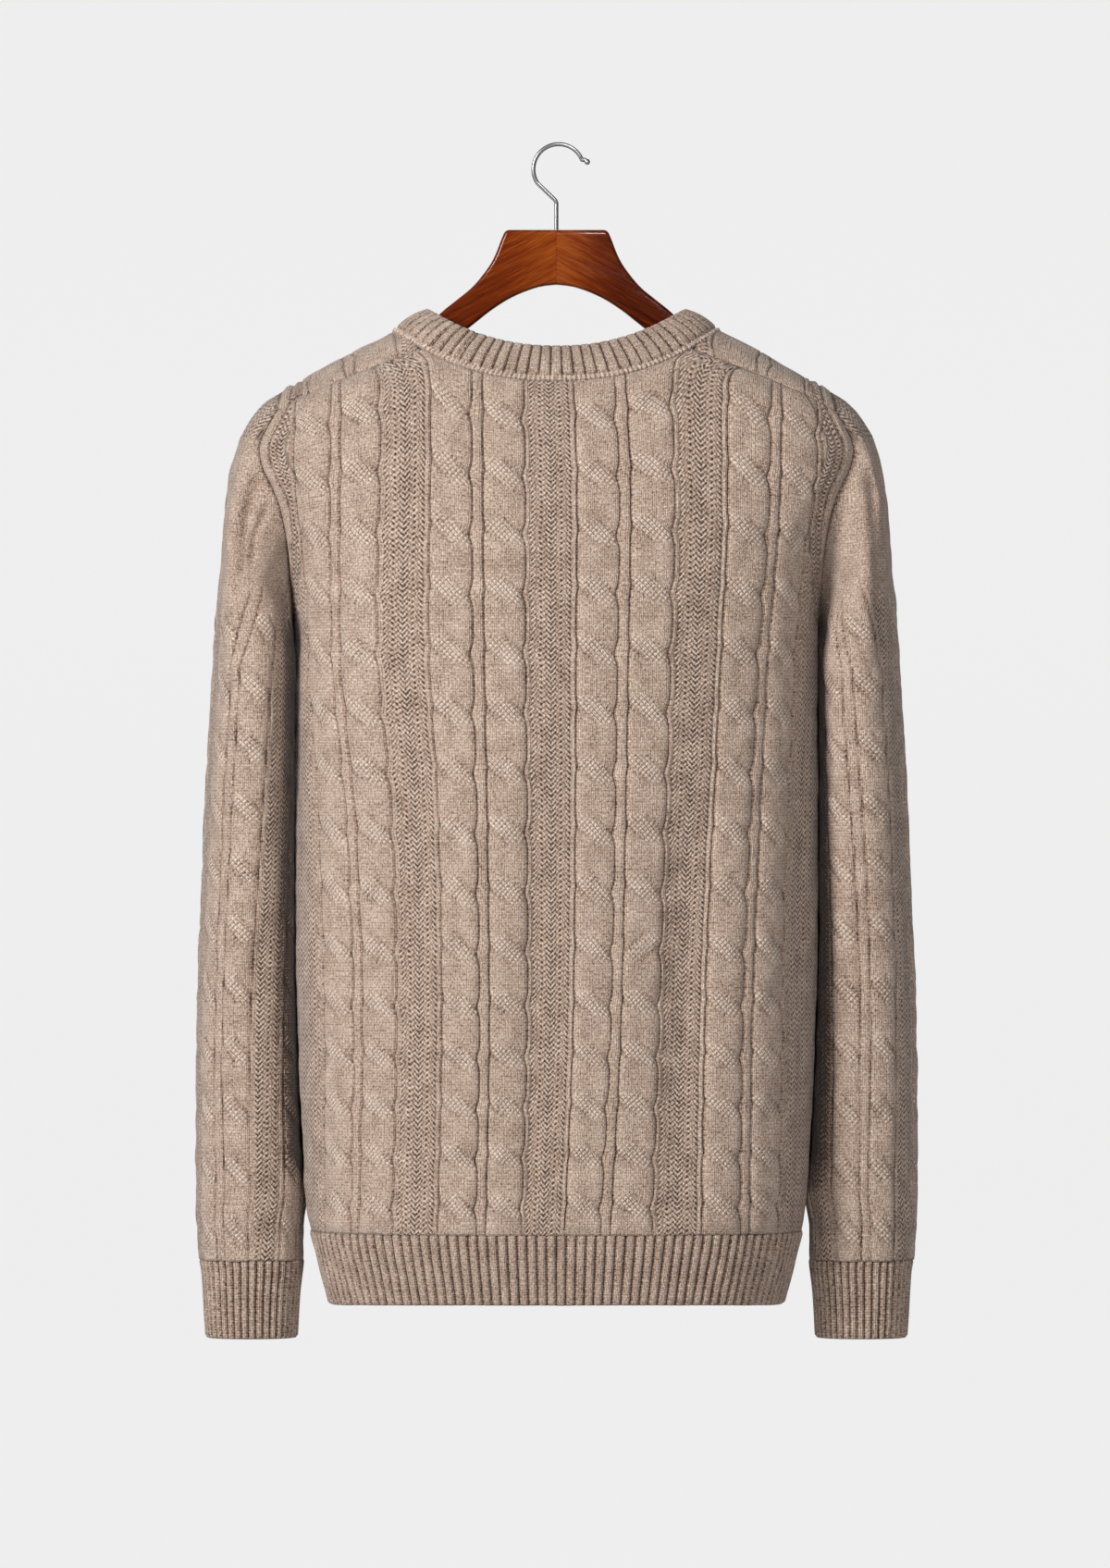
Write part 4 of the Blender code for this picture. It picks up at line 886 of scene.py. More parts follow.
class Cloth:
    """One closed piece of cloth: a fine outside, a plain inside and the rims between them."""

    def __init__(self):
        self.points = []
        self.uv = []
        self.masks = []
        self.quads = []
        self.triangles = []
        self.count = 0

    def add(self, points, uv, masks):
        """Puts in more points, in millimetres, and gives back their numbers in the same shape."""
        points = np.asarray(points, float)
        shape = points.shape[:-1]
        self.points.append(points.reshape(-1, 3) * MM)
        self.uv.append(np.broadcast_to(uv, (*shape, 2)).reshape(-1, 2))
        self.masks.append(np.broadcast_to(masks, (*shape, 4)).reshape(-1, 4))
        index = np.arange(self.count, self.count + int(np.prod(shape))).reshape(shape)
        self.count += int(np.prod(shape))
        return index

    def grid(self, index, closed, flip=False):
        """Faces over a grid of points, closed round its rows or not."""
        following = np.roll(index, -1, axis=1) if closed else index[:, 1:]
        here = index if closed else index[:, :-1]
        corners = [here[:-1], following[:-1], following[1:], here[1:]]
        if flip:
            corners = corners[::-1]
        self.quads.append(np.stack(corners, axis=-1).reshape(-1, 4))

    def strip(self, low, high, flip=False, closed=False):
        """Triangles between two lines of any lengths, kept level by their shares of the way."""
        low, high = list(low), list(high)
        if closed:
            low.append(low[0])
            high.append(high[0])
        i = j = 0
        while i < len(low) - 1 or j < len(high) - 1:
            ahead_low = (i + 1) / max(len(low) - 1, 1)
            ahead_high = (j + 1) / max(len(high) - 1, 1)
            step_low = j == len(high) - 1 or (i < len(low) - 1 and ahead_low <= ahead_high)
            if step_low:
                face = (low[i], low[i + 1], high[j])
                i += 1
            else:
                face = (low[i], high[j + 1], high[j])
                j += 1
            self.triangles.append(face[::-1] if flip else face)

    def make(self, name, finish, wrap):
        """The object. wrap is the way round a piece that closes on itself, and else nothing."""
        points = np.vstack(self.points)
        uv = np.vstack(self.uv)
        masks = np.vstack(self.masks)
        quads = np.vstack(self.quads)
        triangles = np.array(self.triangles, int).reshape(-1, 3)
        mesh = bpy.data.meshes.new(name)
        mesh.from_pydata(points.tolist(), [], quads.tolist() + triangles.tolist())
        loops = np.concatenate([quads.reshape(-1), triangles.reshape(-1)])
        spots = uv[loops].copy()
        if wrap:
            corners = spots[: quads.size].reshape(-1, 4, 2)
            middle = corners[:, :, 0].max(axis=1, keepdims=True) - wrap / 2
            corners[:, :, 0] += np.where(corners[:, :, 0] < middle, wrap, 0)
        layer = mesh.uv_layers.new(name="stitches")
        layer.data.foreach_set("uv", (spots * UV_SCALE).astype(np.float32).ravel())
        colour = mesh.color_attributes.new("knit", "FLOAT_COLOR", "POINT")
        colour.data.foreach_set("color", masks.astype(np.float32).ravel())
        mesh.shade_smooth()
        mesh.materials.append(finish)
        return put(name, mesh)


def mask_array(masks):
    patch = masks["patch"] * 0.5 + 0.5
    return np.stack([masks["moss"], patch, masks["crease_shade"], masks["groove"]], axis=-1)


PLAIN_MASK = (0.0, 0.5, 0.0, 0.0)
INSIDE_STEP = 6  # the inside has one point for this many of the outside, each way


def spaced(count, step):
    return sorted({*range(0, count, step), count - 1})


def grid_normals(points, closed):
    """Outward directions of a grid whose rows go up and whose columns run to the right."""
    up = np.gradient(points, axis=0)
    if closed:
        right = np.roll(points, -1, axis=1) - np.roll(points, 1, axis=1)
    else:
        right = np.gradient(points, axis=1)
    return unit(np.cross(right, up))


def lowest_near(relief, reach=INSIDE_STEP + 1):
    """The lowest relief within reach rows and columns, and never above nothing."""
    low = np.minimum(relief, 0.0)
    for axis in (0, 1):
        at = np.arange(relief.shape[axis])
        shifts = [np.clip(at + step, 0, at[-1]) for step in range(-reach, reach + 1)]
        low = np.minimum.reduce([np.take(low, picked, axis=axis) for picked in shifts])
    return low[..., None]


def cloth_piece(name, points, normals, relief, uv, masks, finish, wall=WALL, wrap=0.0):
    """A piece from its plain outer points and the relief over them; wrap is that of Cloth.make."""
    closed = wrap > 0
    cloth = Cloth()
    outer = cloth.add(points + normals * relief[..., None], uv, masks)
    rows = spaced(len(points), INSIDE_STEP)
    columns = spaced(points.shape[1], INSIDE_STEP)
    if closed:
        columns = range(0, points.shape[1], INSIDE_STEP)
    picked = np.ix_(rows, columns)
    inside = points + normals * (lowest_near(relief) - wall)
    inner = cloth.add(inside[picked], uv[picked], PLAIN_MASK)
    cloth.grid(outer, closed)
    cloth.grid(inner, closed, flip=True)
    cloth.strip(inner[0], outer[0], closed=closed)
    cloth.strip(inner[-1], outer[-1], flip=True, closed=closed)
    if not closed:
        cloth.strip(inner[:, 0], outer[:, 0], flip=True)
        cloth.strip(inner[:, -1], outer[:, -1])
    return cloth.make(name + "_cloth", finish, wrap)


# ---- The body's faces


def edge_taper(count, width):
    """Falls to nothing at a grid's two side edges."""
    j = np.arange(count)
    return smooth(np.minimum(j, count - 1 - j) / width)


CLOSE = 0.05  # half the gap between a rib and the knit above it
FOLD_DEEPER = 1.4  # how much deeper the soft folds are here than in the solid
ARMHOLE_BAND = 9.5  # plain wales along the armhole seam
ARMHOLE_MOSS_TO = 23.5  # then two columns of moss stitch and one light rib, from the seam
ARMHOLE_RIB_TO = 27.0
COLUMNS_READ_AT = -230.0  # the level whose columns are followed up to the back's upper edge
PULL_ROWS = 12  # rows of the back over which its upper edge is drawn to the seams
UPPER_ROWS = 46  # rows of the front that run over the shoulder
TURN_ROWS = 60  # rows from the front's upper edge whose outward direction is the grid's own
WRONG_CABLE = PAIR_CENTRES[2] + RIB_HALF + CABLE_WIDTH / 2
WRONG_CROSSING = 9.0  # here the back's sixth cable crosses the other way
OVER_FROM, OVER_FADE, OVER_RISE = 42.0, 34.0, 1.8  # the front's knit is flatter over the shoulder
FACE_UNEVEN, SLEEVE_UNEVEN, HEM_UNEVEN = 0.7, 0.5, 0.5
SEAM_ACROSS = 250  # where the armhole seam lies across the cloth, beyond all of the pattern


def trim_armholes(points, positions, relief, masks):
    """What follows each armhole seam on the body; it returns the cloth's own way across, too."""
    across = positions.copy()
    cable_ends = PAIR_CENTRES[-1] + PAIR_HALF + LINE_WIDTH
    for edge, sign in ((0, -1), (points.shape[1] - 1, 1)):
        away = np.linalg.norm(points - points[:, edge : edge + 1], axis=-1)
        high = smooth((points[:, edge, 2] - UNDERARM - 4.0) / 20.0)[:, None]
        beyond = smooth((positions * sign - cable_ends) / 1.5)
        band = (1 - smooth((away - ARMHOLE_BAND) / 0.8)) * high
        past_moss = smooth(away - ARMHOLE_MOSS_TO)
        moss = (1 - past_moss) * high * beyond * (1 - band)
        rib = past_moss * (1 - smooth(away - ARMHOLE_RIB_TO)) * high * beyond
        left = 1 - band - moss - rib
        smooth_wales = 1.8 * rounded(away - ARMHOLE_BAND / 2, ARMHOLE_BAND / 2, 5)
        smooth_wales = smooth_wales + 0.25 * np.cos(2 * math.pi * away / WALE)
        into_moss = away - ARMHOLE_MOSS_TO + MOSS_COLUMN / 2
        columns = 1.3 + 0.5 * np.cos(2 * math.pi * into_moss / MOSS_COLUMN)
        rib_middle = (ARMHOLE_MOSS_TO + ARMHOLE_RIB_TO) / 2
        line = LINE_RISE * rounded(away - rib_middle, 2.2, 3)
        relief = relief * left + smooth_wales * band + columns * moss + line * rib
        gap = bell(away - ARMHOLE_BAND - 0.6, 0.8) * high
        relief = relief * (1 - 0.85 * gap)
        masks["moss"] = np.clip(masks["moss"] * (1 - band - rib) + moss, 0, 1)
        scale(masks, ("patch", "crease_shade", "groove"), left)
        rows_of_dots = bell(away - ARMHOLE_MOSS_TO + MOSS_COLUMN, 1.0) * moss
        # The groove mask paints shade into the gap beside the band, along a row of moss dots and along the
        # seam itself.
        masks["groove"] = masks["groove"] + 0.9 * gap + 0.5 * rows_of_dots
        masks["groove"] = masks["groove"] + 0.8 * bell(away, 1.2) * high
        follows = (away < rib_middle) & (high > 0.3)
        across = np.where(follows, sign * (SEAM_ACROSS - away), across)
    return relief, masks, across


def rows_up_to(top):
    """Heights of a face's rows before they bend, and how much of the bend each takes."""
    nominal = np.linspace(HEM_TOP + CLOSE, top, int((top - HEM_TOP) / ROW_MM) + 1)
    share = np.clip((nominal - ROWS_BEND_FROM) / (top - ROWS_BEND_FROM), 0, 1)
    return nominal, share**ROWS_BEND_POWER


def back_surface():
    """Pattern positions, points and crossings of the back, up to the shoulder seams and the neck."""
    shape = FaceMap("back")
    nominal, share = rows_up_to(ROWS_TOP)
    level = shape.at(np.full((1, len(shape.tables[0][0])), COLUMNS_READ_AT))[1][0]
    tops = np.array([back_top(x) for x in level[:, 0]])
    heights = nominal[:, None] + share[:, None] * (tops - ROWS_TOP)[None, :]
    positions, points = shape.at(heights)
    neck = back_neck_edge()
    target = []
    for x in points[-1][:, 0]:
        if abs(x) > abs(neck[0][0]):
            p = on_shoulder_seam(min(abs(x), SHOULDER_SEAM[1][0]), -SEAM)
            p[0] = math.copysign(p[0], x)
        else:
            p = [np.interp(x, neck[:, 0], neck[:, i]) for i in range(3)]
        target.append(p)
    pull = smooth((np.arange(len(points)) - (len(points) - 1 - PULL_ROWS)) / PULL_ROWS)
    points = points + pull[:, None, None] * (np.array(target) - points[-1])
    phase = crossing_phase(nominal)[:, None] + np.zeros_like(positions)
    return positions, points, phase


def front_surface():
    """The same of the front, which runs on over the shoulders to the seams behind them."""
    shape = FaceMap("front")
    columns = len(shape.tables[0][0])
    nominal, share = rows_up_to(FRONT_TURN_HEIGHT)
    level = np.repeat(nominal[:, None], columns, axis=1)
    flat = shape.at(level)[1]
    near = np.clip(np.abs(flat[:, :, 0]) / FRONT_NECK_REACH, 0, 1)
    dip = FRONT_NECK_DIP * (0.5 + 0.5 * np.cos(math.pi * near))
    positions, points = shape.at(level - share[:, None] * dip)
    phase = crossing_phase(nominal)[:, None] + np.zeros_like(positions)

    starts = points[-1]
    ends = front_column_ends(starts[:, 0])
    widest = np.abs(starts[:, 0]).max()
    beyond = np.abs(starts[:, 0]) - SHOULDER_BOW_FROM
    lean = np.clip(beyond / (widest - SHOULDER_BOW_FROM), 0, 1) ** 2
    t = np.linspace(0, 1, 60)[:, None]
    x = starts[:, 0] + (ends[:, 0] - starts[:, 0]) * t
    y = starts[:, 1] + (ends[:, 1] - starts[:, 1]) * t
    edge_start = float(depth_at(armhole_x(FRONT_TURN_HEIGHT), FRONT_TURN_HEIGHT, front_depth))
    edge_end = -float(depth_at(SHOULDER_SEAM[1][0], SHOULDER_SEAM[1][1], back_depth))
    edge_y = edge_start + (edge_end - edge_start) * t[:, 0]
    bow = np.array([armhole_over(v) for v in edge_y])[:, None]
    straight = armhole_over(edge_start) * (1 - t) + armhole_over(edge_end) * t
    x = x + np.sign(starts[:, 0]) * lean * (bow - straight)
    paths = np.stack([x, y, top_height(x, y)], axis=-1)
    paths[0] = starts
    paths[-1] = ends
    rows = np.linspace(0, 1, UPPER_ROWS)
    upper = np.stack([resample(paths[:, j], rows) for j in range(columns)], axis=1)
    lengths = np.array([along(paths[:, j])[-1] for j in range(columns)])
    upper_phase = phase[-1] - rows[:, None] * lengths[None, :] / CROSSING_STEPS[0]
    points = np.vstack([points, upper[1:]])
    phase = np.vstack([phase, upper_phase[1:]])
    positions = np.vstack([positions, np.repeat(positions[-1:], len(rows) - 1, axis=0)])
    return positions, points, phase


def face_piece(name, surface, finish):
    """The back or the front as a closed piece of cloth."""
    positions, points, phase = surface
    face = Face(name)
    flipped = np.zeros(positions.shape, bool)
    if name == "back":
        flipped = np.abs(positions - WRONG_CABLE) < CABLE_WIDTH / 2 + 0.5
        flipped = flipped & (np.abs(phase - WRONG_CROSSING) < 0.45)
    reach = PAIR_CENTRES[-1] + PAIR_PITCH / 2
    held = np.clip(positions, -reach, reach) - PAIR_PITCH / 2
    phase = phase + 0.03 * soft_noise(positions, positions * 0, 3)
    relief, masks = pattern(held, phase, BODY_PAIR, flipped)
    shift = pinched(held, phase, BODY_PAIR) - held
    points = along_rows(points, positions, positions + shift)
    if name == "front":
        over = smooth((OVER_FROM - points[..., 1]) / OVER_FADE)
        relief = relief * (1 - over) + np.minimum(relief, OVER_RISE) * over
        scale(masks, ("patch", "crease_shade"), 1 - over)
    relief, masks, across = trim_armholes(points, positions, relief, masks)
    normals = body_normal(points)
    if name == "front":
        numeric = grid_normals(points, False)
        mix = smooth((np.arange(len(points)) - (len(points) - TURN_ROWS)) / 12.0)[:, None, None]
        normals = unit(normals * (1 - mix) + numeric * mix)
    folds = FACE_UNEVEN * soft_noise(positions, points[..., 2], 5 if name == "back" else 6)
    taper = edge_taper(points.shape[1], 6)[None, :]
    low = smooth(np.arange(len(points)) / 3.0)[:, None]
    from_top = (len(points) - 1 - np.arange(len(points)))[:, None]
    high = smooth(from_top / 5.0)
    shoulder = smooth((np.abs(points[-1:, :, 0]) - 96.0) / 8.0)
    flush = 1.5 * smooth((from_top + 0.4) / 1.2) * shoulder + relief * 0.5 * (1 - shoulder)
    into_rib = smooth(np.arange(len(points)) / 7.0)[:, None]
    relief = relief * (0.35 + 0.65 * taper) * (0.55 + 0.45 * low)
    relief = relief * into_rib + np.maximum(relief, 1.5) * (1 - into_rib) * (0.55 + 0.45 * taper)
    relief = relief * high + np.minimum(flush, relief + 0.8) * (1 - high) + folds * taper * low * high
    rise = along_columns(points, len(points) - (UPPER_ROWS - 1 if name == "front" else 0))
    uv = np.stack([across, rise], axis=-1)
    bent = FOLD_DEEPER * face.fold(positions, points[..., 2]) * taper * low * high
    points = points + normals * bent[..., None]
    return cloth_piece(name, points, normals, relief, uv, mask_array(masks), finish)


def along_rows(points, positions, wanted):
    """Each row's points moved along it to the wanted pattern positions."""
    moved = np.empty_like(points)
    for row, at, to, made in zip(points, positions, wanted, moved):
        for i in range(3):
            made[:, i] = np.interp(to, at, row[:, i])
    return moved


def along_columns(points, level_rows):
    """Length of cloth above the lower edge: one for all columns up to level_rows, then each its own."""
    steps = np.linalg.norm(np.diff(points, axis=0), axis=-1)
    level = np.median(steps, axis=1, keepdims=True) + np.zeros_like(steps)
    steps[: level_rows - 1] = level[: level_rows - 1]
    return np.vstack([np.zeros((1, points.shape[1])), np.cumsum(steps, axis=0)])


# ---- Sleeves

SLEEVE_COLUMNS = 224
CAP_STEPS = 64
CAP_GRAIN_LEAN = 0.3  # the wales of a sleeve's head lean this much towards the neck
SLEEVE_CLEAR = 3.2  # between a sleeve's plain form and the body's, for the knit of both
SLEEVE_LEAN_IN = 6.0
UNDERARM_CALM = 0.13  # share of the way round, each side of the underarm, in which the knit is flatter


def lean_in(z):
    """How far a sleeve's inner edge is pressed towards the body."""
    return SLEEVE_LEAN_IN * smooth((UNDERARM - 2.0 - z) / 16.0) * smooth((z + 775.0) / 35.0)


def rest_on_body(ring):
    """A ring of the right sleeve, flattened where it would go into the body's side."""
    x, y, z = ring.T
    pressed = np.maximum(x, body_side(y, z) + SLEEVE_CLEAR * smooth((UNDERARM - z) / 12.0))
    ring[:, 0] = np.where(z < UNDERARM, pressed, x)
    return ring


class Sleeve:
    """The right sleeve's form at any height, resting against the body's side."""

    def __init__(self, armhole):
        self.seam = np.vstack([armhole, armhole[:1]])
        outer = [(float(sleeve_outer(z)), 0.0, z) for z in np.linspace(SLEEVE_TOP, CAP_END, 80)]
        inner = [(float(sleeve_inner(z)), 0.0, z) for z in np.linspace(UNDERARM, CAP_END, 20)]
        self.outer_line = np.array(outer)
        self.inner_line = np.array(inner)

    def level_ring(self, z, share):
        """A level ring below the sleeve's head."""
        outer = np.array([float(sleeve_outer(z)) - SLEEVE_KNIT, 0.0, z])
        inner = np.array([float(sleeve_inner(z) - lean_in(z)), 0.0, z])
        ring = oval(share, outer, inner, float(sleeve_depth(z)), float(sleeve_forward(z)))
        return rest_on_body(ring)

    def cap_ring(self, k, share):
        """Ring k of the sleeve's head, 0 being the armhole and CAP_RINGS the first level ring."""
        down = k / CAP_RINGS
        ease = down**2 * (3 - 2 * down)
        half = CAP_HALF_DEPTH + (float(sleeve_depth(CAP_END)) - CAP_HALF_DEPTH) * ease
        forward = float(sleeve_forward(CAP_END)) * ease
        outer = resample(self.outer_line, [down])[0] - [SLEEVE_KNIT * down, 0, 0]
        inner = resample(self.inner_line, [down])[0]
        inner[0] -= lean_in(inner[2])
        ring = oval(share, outer, inner, half, forward)
        start = oval(share, self.outer_line[0], self.inner_line[0], CAP_HALF_DEPTH, 0.0)
        seam = resample(self.seam, np.asarray(share) % 1.0)
        return rest_on_body(ring + (seam - start) * (1 - down) ** 2)


WALE_REACH = 26  # columns to each side in which a wale is looked for on the ring below


def trace_wales(rings, level_share):
    """From a level ring up to the armhole: the wale that each point lies on, and its height along it."""
    count = rings.shape[1]
    normals = grid_normals(rings, True)
    share = [level_share]
    length = [np.zeros(count)]
    window = np.arange(-WALE_REACH, WALE_REACH + 1)
    up_and_in = unit(np.array([-CAP_GRAIN_LEAN, 0.0, 1.0]))
    for r in range(1, len(rings)):
        level = unit(np.cross(normals[r], up_and_in))
        before = rings[r - 1]
        index = (np.arange(count)[:, None] + window[None, :]) % count
        offset = ((before[index] - rings[r][:, None]) * level[:, None]).sum(axis=2)
        change = (offset[:, :-1] <= 0) != (offset[:, 1:] <= 0)
        distance = np.where(change, np.abs(window[:-1] + 0.5)[None, :], 999)
        pick = distance.argmin(axis=1)
        rows = np.arange(count)
        a, b = offset[rows, pick], offset[rows, pick + 1]
        part = np.clip(np.where(a == b, 0.5, a / (a - b + 1e-12)), 0, 1)
        lost = distance[rows, pick] > 900
        i, j = index[rows, pick], index[rows, pick + 1]
        i = np.where(lost, rows, i)
        j = np.where(lost, rows, j)
        step = (share[-1][j] - share[-1][i] + 0.5) % 1.0 - 0.5
        share.append(share[-1][i] + step * part)
        foot = before[i] + (before[j] - before[i]) * part[:, None]
        below = length[-1][i] * (1 - part) + length[-1][j] * part
        length.append(below + np.linalg.norm(rings[r] - foot, axis=1))
    return np.array(share), np.array(length)


# Folds of the sleeves' heads on the side of the garment's back: points (x, z) down the fold, rise, half width
LEFT_FOLDS = (
    (((209, -213), (214, -224), (222, -245), (227, -268), (229, -305), (230, -345), (229, -400)), 3.2, 5.0),
    (((205, -224), (209, -230), (216, -249), (221, -268), (223, -300), (224, -340)), -3.6, 3.4),
    (((199, -248), (206, -260), (215, -279), (217, -300), (217, -325)), -2.4, 2.2),
    (((203, -262), (210, -272), (214, -286), (214, -305)), -1.6, 1.8),
    (((201, -540), (215, -590), (220, -640)), -1.5, 9.0),
)
RIGHT_FOLDS = (
    (((205, -214), (211, -229), (218, -256), (221, -280), (222, -320), (223, -370)), 2.8, 7.0),
    (((215, -222), (223, -246), (226, -289), (228, -338), (229, -400)), -3.0, 5.0),
    (((195, -260), (200, -268), (207, -278)), -1.6, 1.5),
    (((193, -272), (198, -285), (203, -290)), -1.2, 1.5),
    (((216, -520), (212, -580), (214, -640)), -1.5, 9.0),
)


# Painted shade at the bottom of a sharp fold in a sleeve's head.
FOLD_SHADE = 0.3  # how much darker a sharp fold in a sleeve's head is at its bottom


def fold_along(points, line, rise, half):
    """A ridge or a trough along a line drawn on a sleeve, falling to nothing at both ends."""
    x, y, z = np.moveaxis(points, -1, 0)
    line = np.array(line, float)
    ends = np.hypot(*(line[1:] - line[:-1]).T)
    whole = ends.sum()
    nearest = np.full(x.shape, 1e9)
    run = np.zeros(x.shape)
    start = 0.0
    for (ax, az), (bx, bz), length in zip(line[:-1], line[1:], ends):
        t = ((np.abs(x) - ax) * (bx - ax) + (z - az) * (bz - az)) / length**2
        t = np.clip(t, 0, 1)
        away = np.hypot(np.abs(x) - ax - (bx - ax) * t, z - az - (bz - az) * t)
        run = np.where(away < nearest, start + t * length, run)
        nearest = np.minimum(nearest, away)
        start += length
    fade = smooth(run / whole / 0.2) * smooth((1 - run / whole) / 0.45)
    return rise * fade * bell(nearest, half) * (y < 0)


def way_round(points):
    """Level length of cloth round a sleeve from its first column, and the usual whole length."""
    level = unit(np.cross([0, 0, 1.0], grid_normals(points, True)))
    steps = np.abs(((np.roll(points, -1, axis=1) - points) * level).sum(axis=-1))
    whole = steps.sum(axis=1, keepdims=True)
    length = np.cumsum(steps, axis=1) - steps
    half = points.shape[1] // 2
    return length - np.where(np.arange(points.shape[1]) > half, whole, 0), float(np.median(whole))


# The darkening where a sleeve lies on the body is painted shade, for the deep shadow between them.
BODY_SHADE = 1.7  # how much darker a sleeve is where it lies on the body


def shade_by_body(points):
    """Painted shade on a sleeve: full where it lies on the body's side, and none some 20 mm away from it."""
    x, y, z = np.moveaxis(points, -1, 0)
    under = smooth((UNDERARM + 34.0 - z) / 40.0) * smooth((z - CUFF_TOP - 40.0) / 40.0)
    return BODY_SHADE * (1 - smooth((np.abs(x) - body_side(y, z) - 6.0) / 17.0)) * under


def sleeve_piece(sleeve, name, left, finish):
    """A sleeve as a closed piece of cloth, from the cuff to the armhole."""
    share = np.arange(SLEEVE_COLUMNS) / SLEEVE_COLUMNS
    if left:
        share = 1 - share
    levels = np.linspace(CUFF_TOP + CLOSE, CAP_END, int((CAP_END - CUFF_TOP) / ROW_MM))
    lower = np.array([sleeve.level_ring(z, share) for z in levels])
    upper = np.array([sleeve.cap_ring(k, share) for k in np.linspace(CAP_RINGS, 0, CAP_STEPS + 1)])
    turn = sleeve_turns[0] if left else sleeve_turns[1]
    order = -1 if left else 1
    wales, lengths = trace_wales(upper[:, ::order], share[::order])
    wales, lengths = wales[:, ::order], lengths[:, ::order]
    points = np.vstack([lower, upper[1:]])
    way = np.vstack([np.repeat(share[None], len(levels), axis=0), wales[1:]])
    height = np.vstack([np.repeat(levels[:, None], SLEEVE_COLUMNS, axis=1), CAP_END + lengths[1:]])
    seen = 1 - way if left else way
    turned = seen - turn(np.clip(height, CUFF_TOP, CAP_END))
    position = turned * SLEEVE_PAIRS * SLEEVE_PAIR["pitch"]
    phase = (SLEEVE_LAST_CROSSING - height) / SLEEVE_CROSSING_STEP
    if left:
        points = points * [-1, 1, 1]
    across, wrap = way_round(points)
    relief, masks = pattern(position, phase, SLEEVE_PAIR)
    head = smooth((height + 334.0) / 34.0)
    outer = 1 - smooth((np.abs(across) - 24.0) / 3.0)
    behind = smooth((10.0 - points[..., 1]) / 12.0)
    outer = np.maximum(outer, smooth((points[..., 2] + 214.0) / 6.0) * behind)
    columns = 1.2 + 0.45 * np.cos(2 * math.pi * across / MOSS_COLUMN) * outer
    relief = relief * (1 - head) + columns * head
    masks["moss"] = masks["moss"] * (1 - head) + outer * head
    scale(masks, ("groove", "patch", "crease_shade"), 1 - head)
    relief = relief * np.clip(to_whole(way) / UNDERARM_CALM, 0.3, 1.0) * 0.75
    rows = np.arange(len(points))[:, None]
    end = smooth((len(points) - 1 - rows) / 8.0)
    into_rib = smooth(rows / 7.0)
    relief = relief * (0.25 + 0.75 * end)
    relief = relief * into_rib + np.maximum(relief, 1.4) * (1 - into_rib)
    folds = SLEEVE_UNEVEN * soft_noise(across, height, 8 if left else 9) * end
    for line, rise, half in LEFT_FOLDS if left else RIGHT_FOLDS:
        fold = fold_along(points, line, rise, half) * end
        folds = folds + fold
        # A fold's trough gets painted shade in the groove mask.
        masks["groove"] = masks["groove"] + np.clip(-fold / 3.6, 0, 1) * FOLD_SHADE
    relief = relief + folds * smooth(rows / 6.0)
    # Painted shade where the sleeve lies on the body, and along the armhole seam at its top.
    masks["groove"] = masks["groove"] + shade_by_body(points)
    masks["groove"] = masks["groove"] + 0.9 * bell(len(points) - 1 - rows, 1.1)
    uv = np.stack([across, height - CUFF_TOP], axis=-1)
    normals = grid_normals(points, True)
    return cloth_piece(name, points, normals, relief, uv, mask_array(masks), finish, wrap=wrap)


# ---- Ribbed pieces

HEM_LIFT = 2.6  # the back's lower edge is drawn up by this at its middle
HEM_FINE, HEM_ROWS = 9, 27  # columns of the grid to a rib, and its rows
CUFF_FINE, CUFF_ROWS = 8, 28
COLLAR_FINE, COLLAR_ROWS = 12, 24
# The darkening between two ribs is painted shade.
RIB_SHADE = 1.25  # how dark it is between two ribs
RIB_SHADE_WIDTH = 0.95


def rib_relief(ribs, pitch, rise, groove):
    """Height over ribs, given as running numbers with a groove at each whole one."""
    return rise * (1 - bell(to_whole(ribs) * pitch, groove))


def rib_masks(ribs, pitch):
    """Plain knit, with painted shade between two ribs."""
    masks = np.zeros((*ribs.shape, 4))
    masks[..., 1] = 0.5
    masks[..., 3] = RIB_SHADE * bell(to_whole(ribs) * pitch, RIB_SHADE_WIDTH)
    return masks


def rib_ends(rows):
    """Ribs flatten at the lower edge and run into the knit above."""
    low = smooth((np.arange(rows)[:, None] + 0.6) / 1.5)
    return low * smooth((rows + 0.6 - np.arange(rows)[:, None]) / 2.5)


def rib_piece(name, points, heights, ribs, count, pitch, wales, heave, finish, uneven=0.0):
    """A ribbed tube; heave is the ribs' rise and the width of the grooves between them."""
    across = np.repeat(ribs[None], len(heights), axis=0)
    relief = rib_relief(across, pitch, *heave) * rib_ends(len(heights)) + uneven
    above = np.repeat((heights - heights[0])[:, None], len(ribs), axis=1)
    uv = np.stack([across * wales * WALE, above], axis=-1)
    normals = grid_normals(points, True)
    wrap = count * wales * WALE
    return cloth_piece(name, points, normals, relief, uv, rib_masks(across, pitch), finish, wrap=wrap)


def hem_piece(finish):
    """The hem's rib, of three columns of stitches to a rib."""
    size = along(body_ring(HEM_TOP, np.linspace(0, 1, 361)))[-1]
    count = round(size / HEM_RIB_PITCH)
    ribs = np.arange(count * HEM_FINE) / HEM_FINE
    heights = np.linspace(HEM_END, HEM_TOP - CLOSE, HEM_ROWS)
    points = np.array([body_ring(z, ribs / count) for z in heights])
    lift = HEM_LIFT * (points[..., 1] < 0) * (1 - np.abs(points[..., 0] / half_width(HEM_END)) ** 4)
    points[..., 2] += np.clip(lift, 0, None) * np.linspace(1, 0, len(heights))[:, None]
    across = np.repeat(ribs[None], len(heights), axis=0) * HEM_RIB_PITCH
    uneven = HEM_UNEVEN * soft_noise(across, heights[:, None], 12)
    return rib_piece("hem", points, heights, ribs, count, HEM_RIB_PITCH, 3, (2.4, 1.1), finish, uneven)


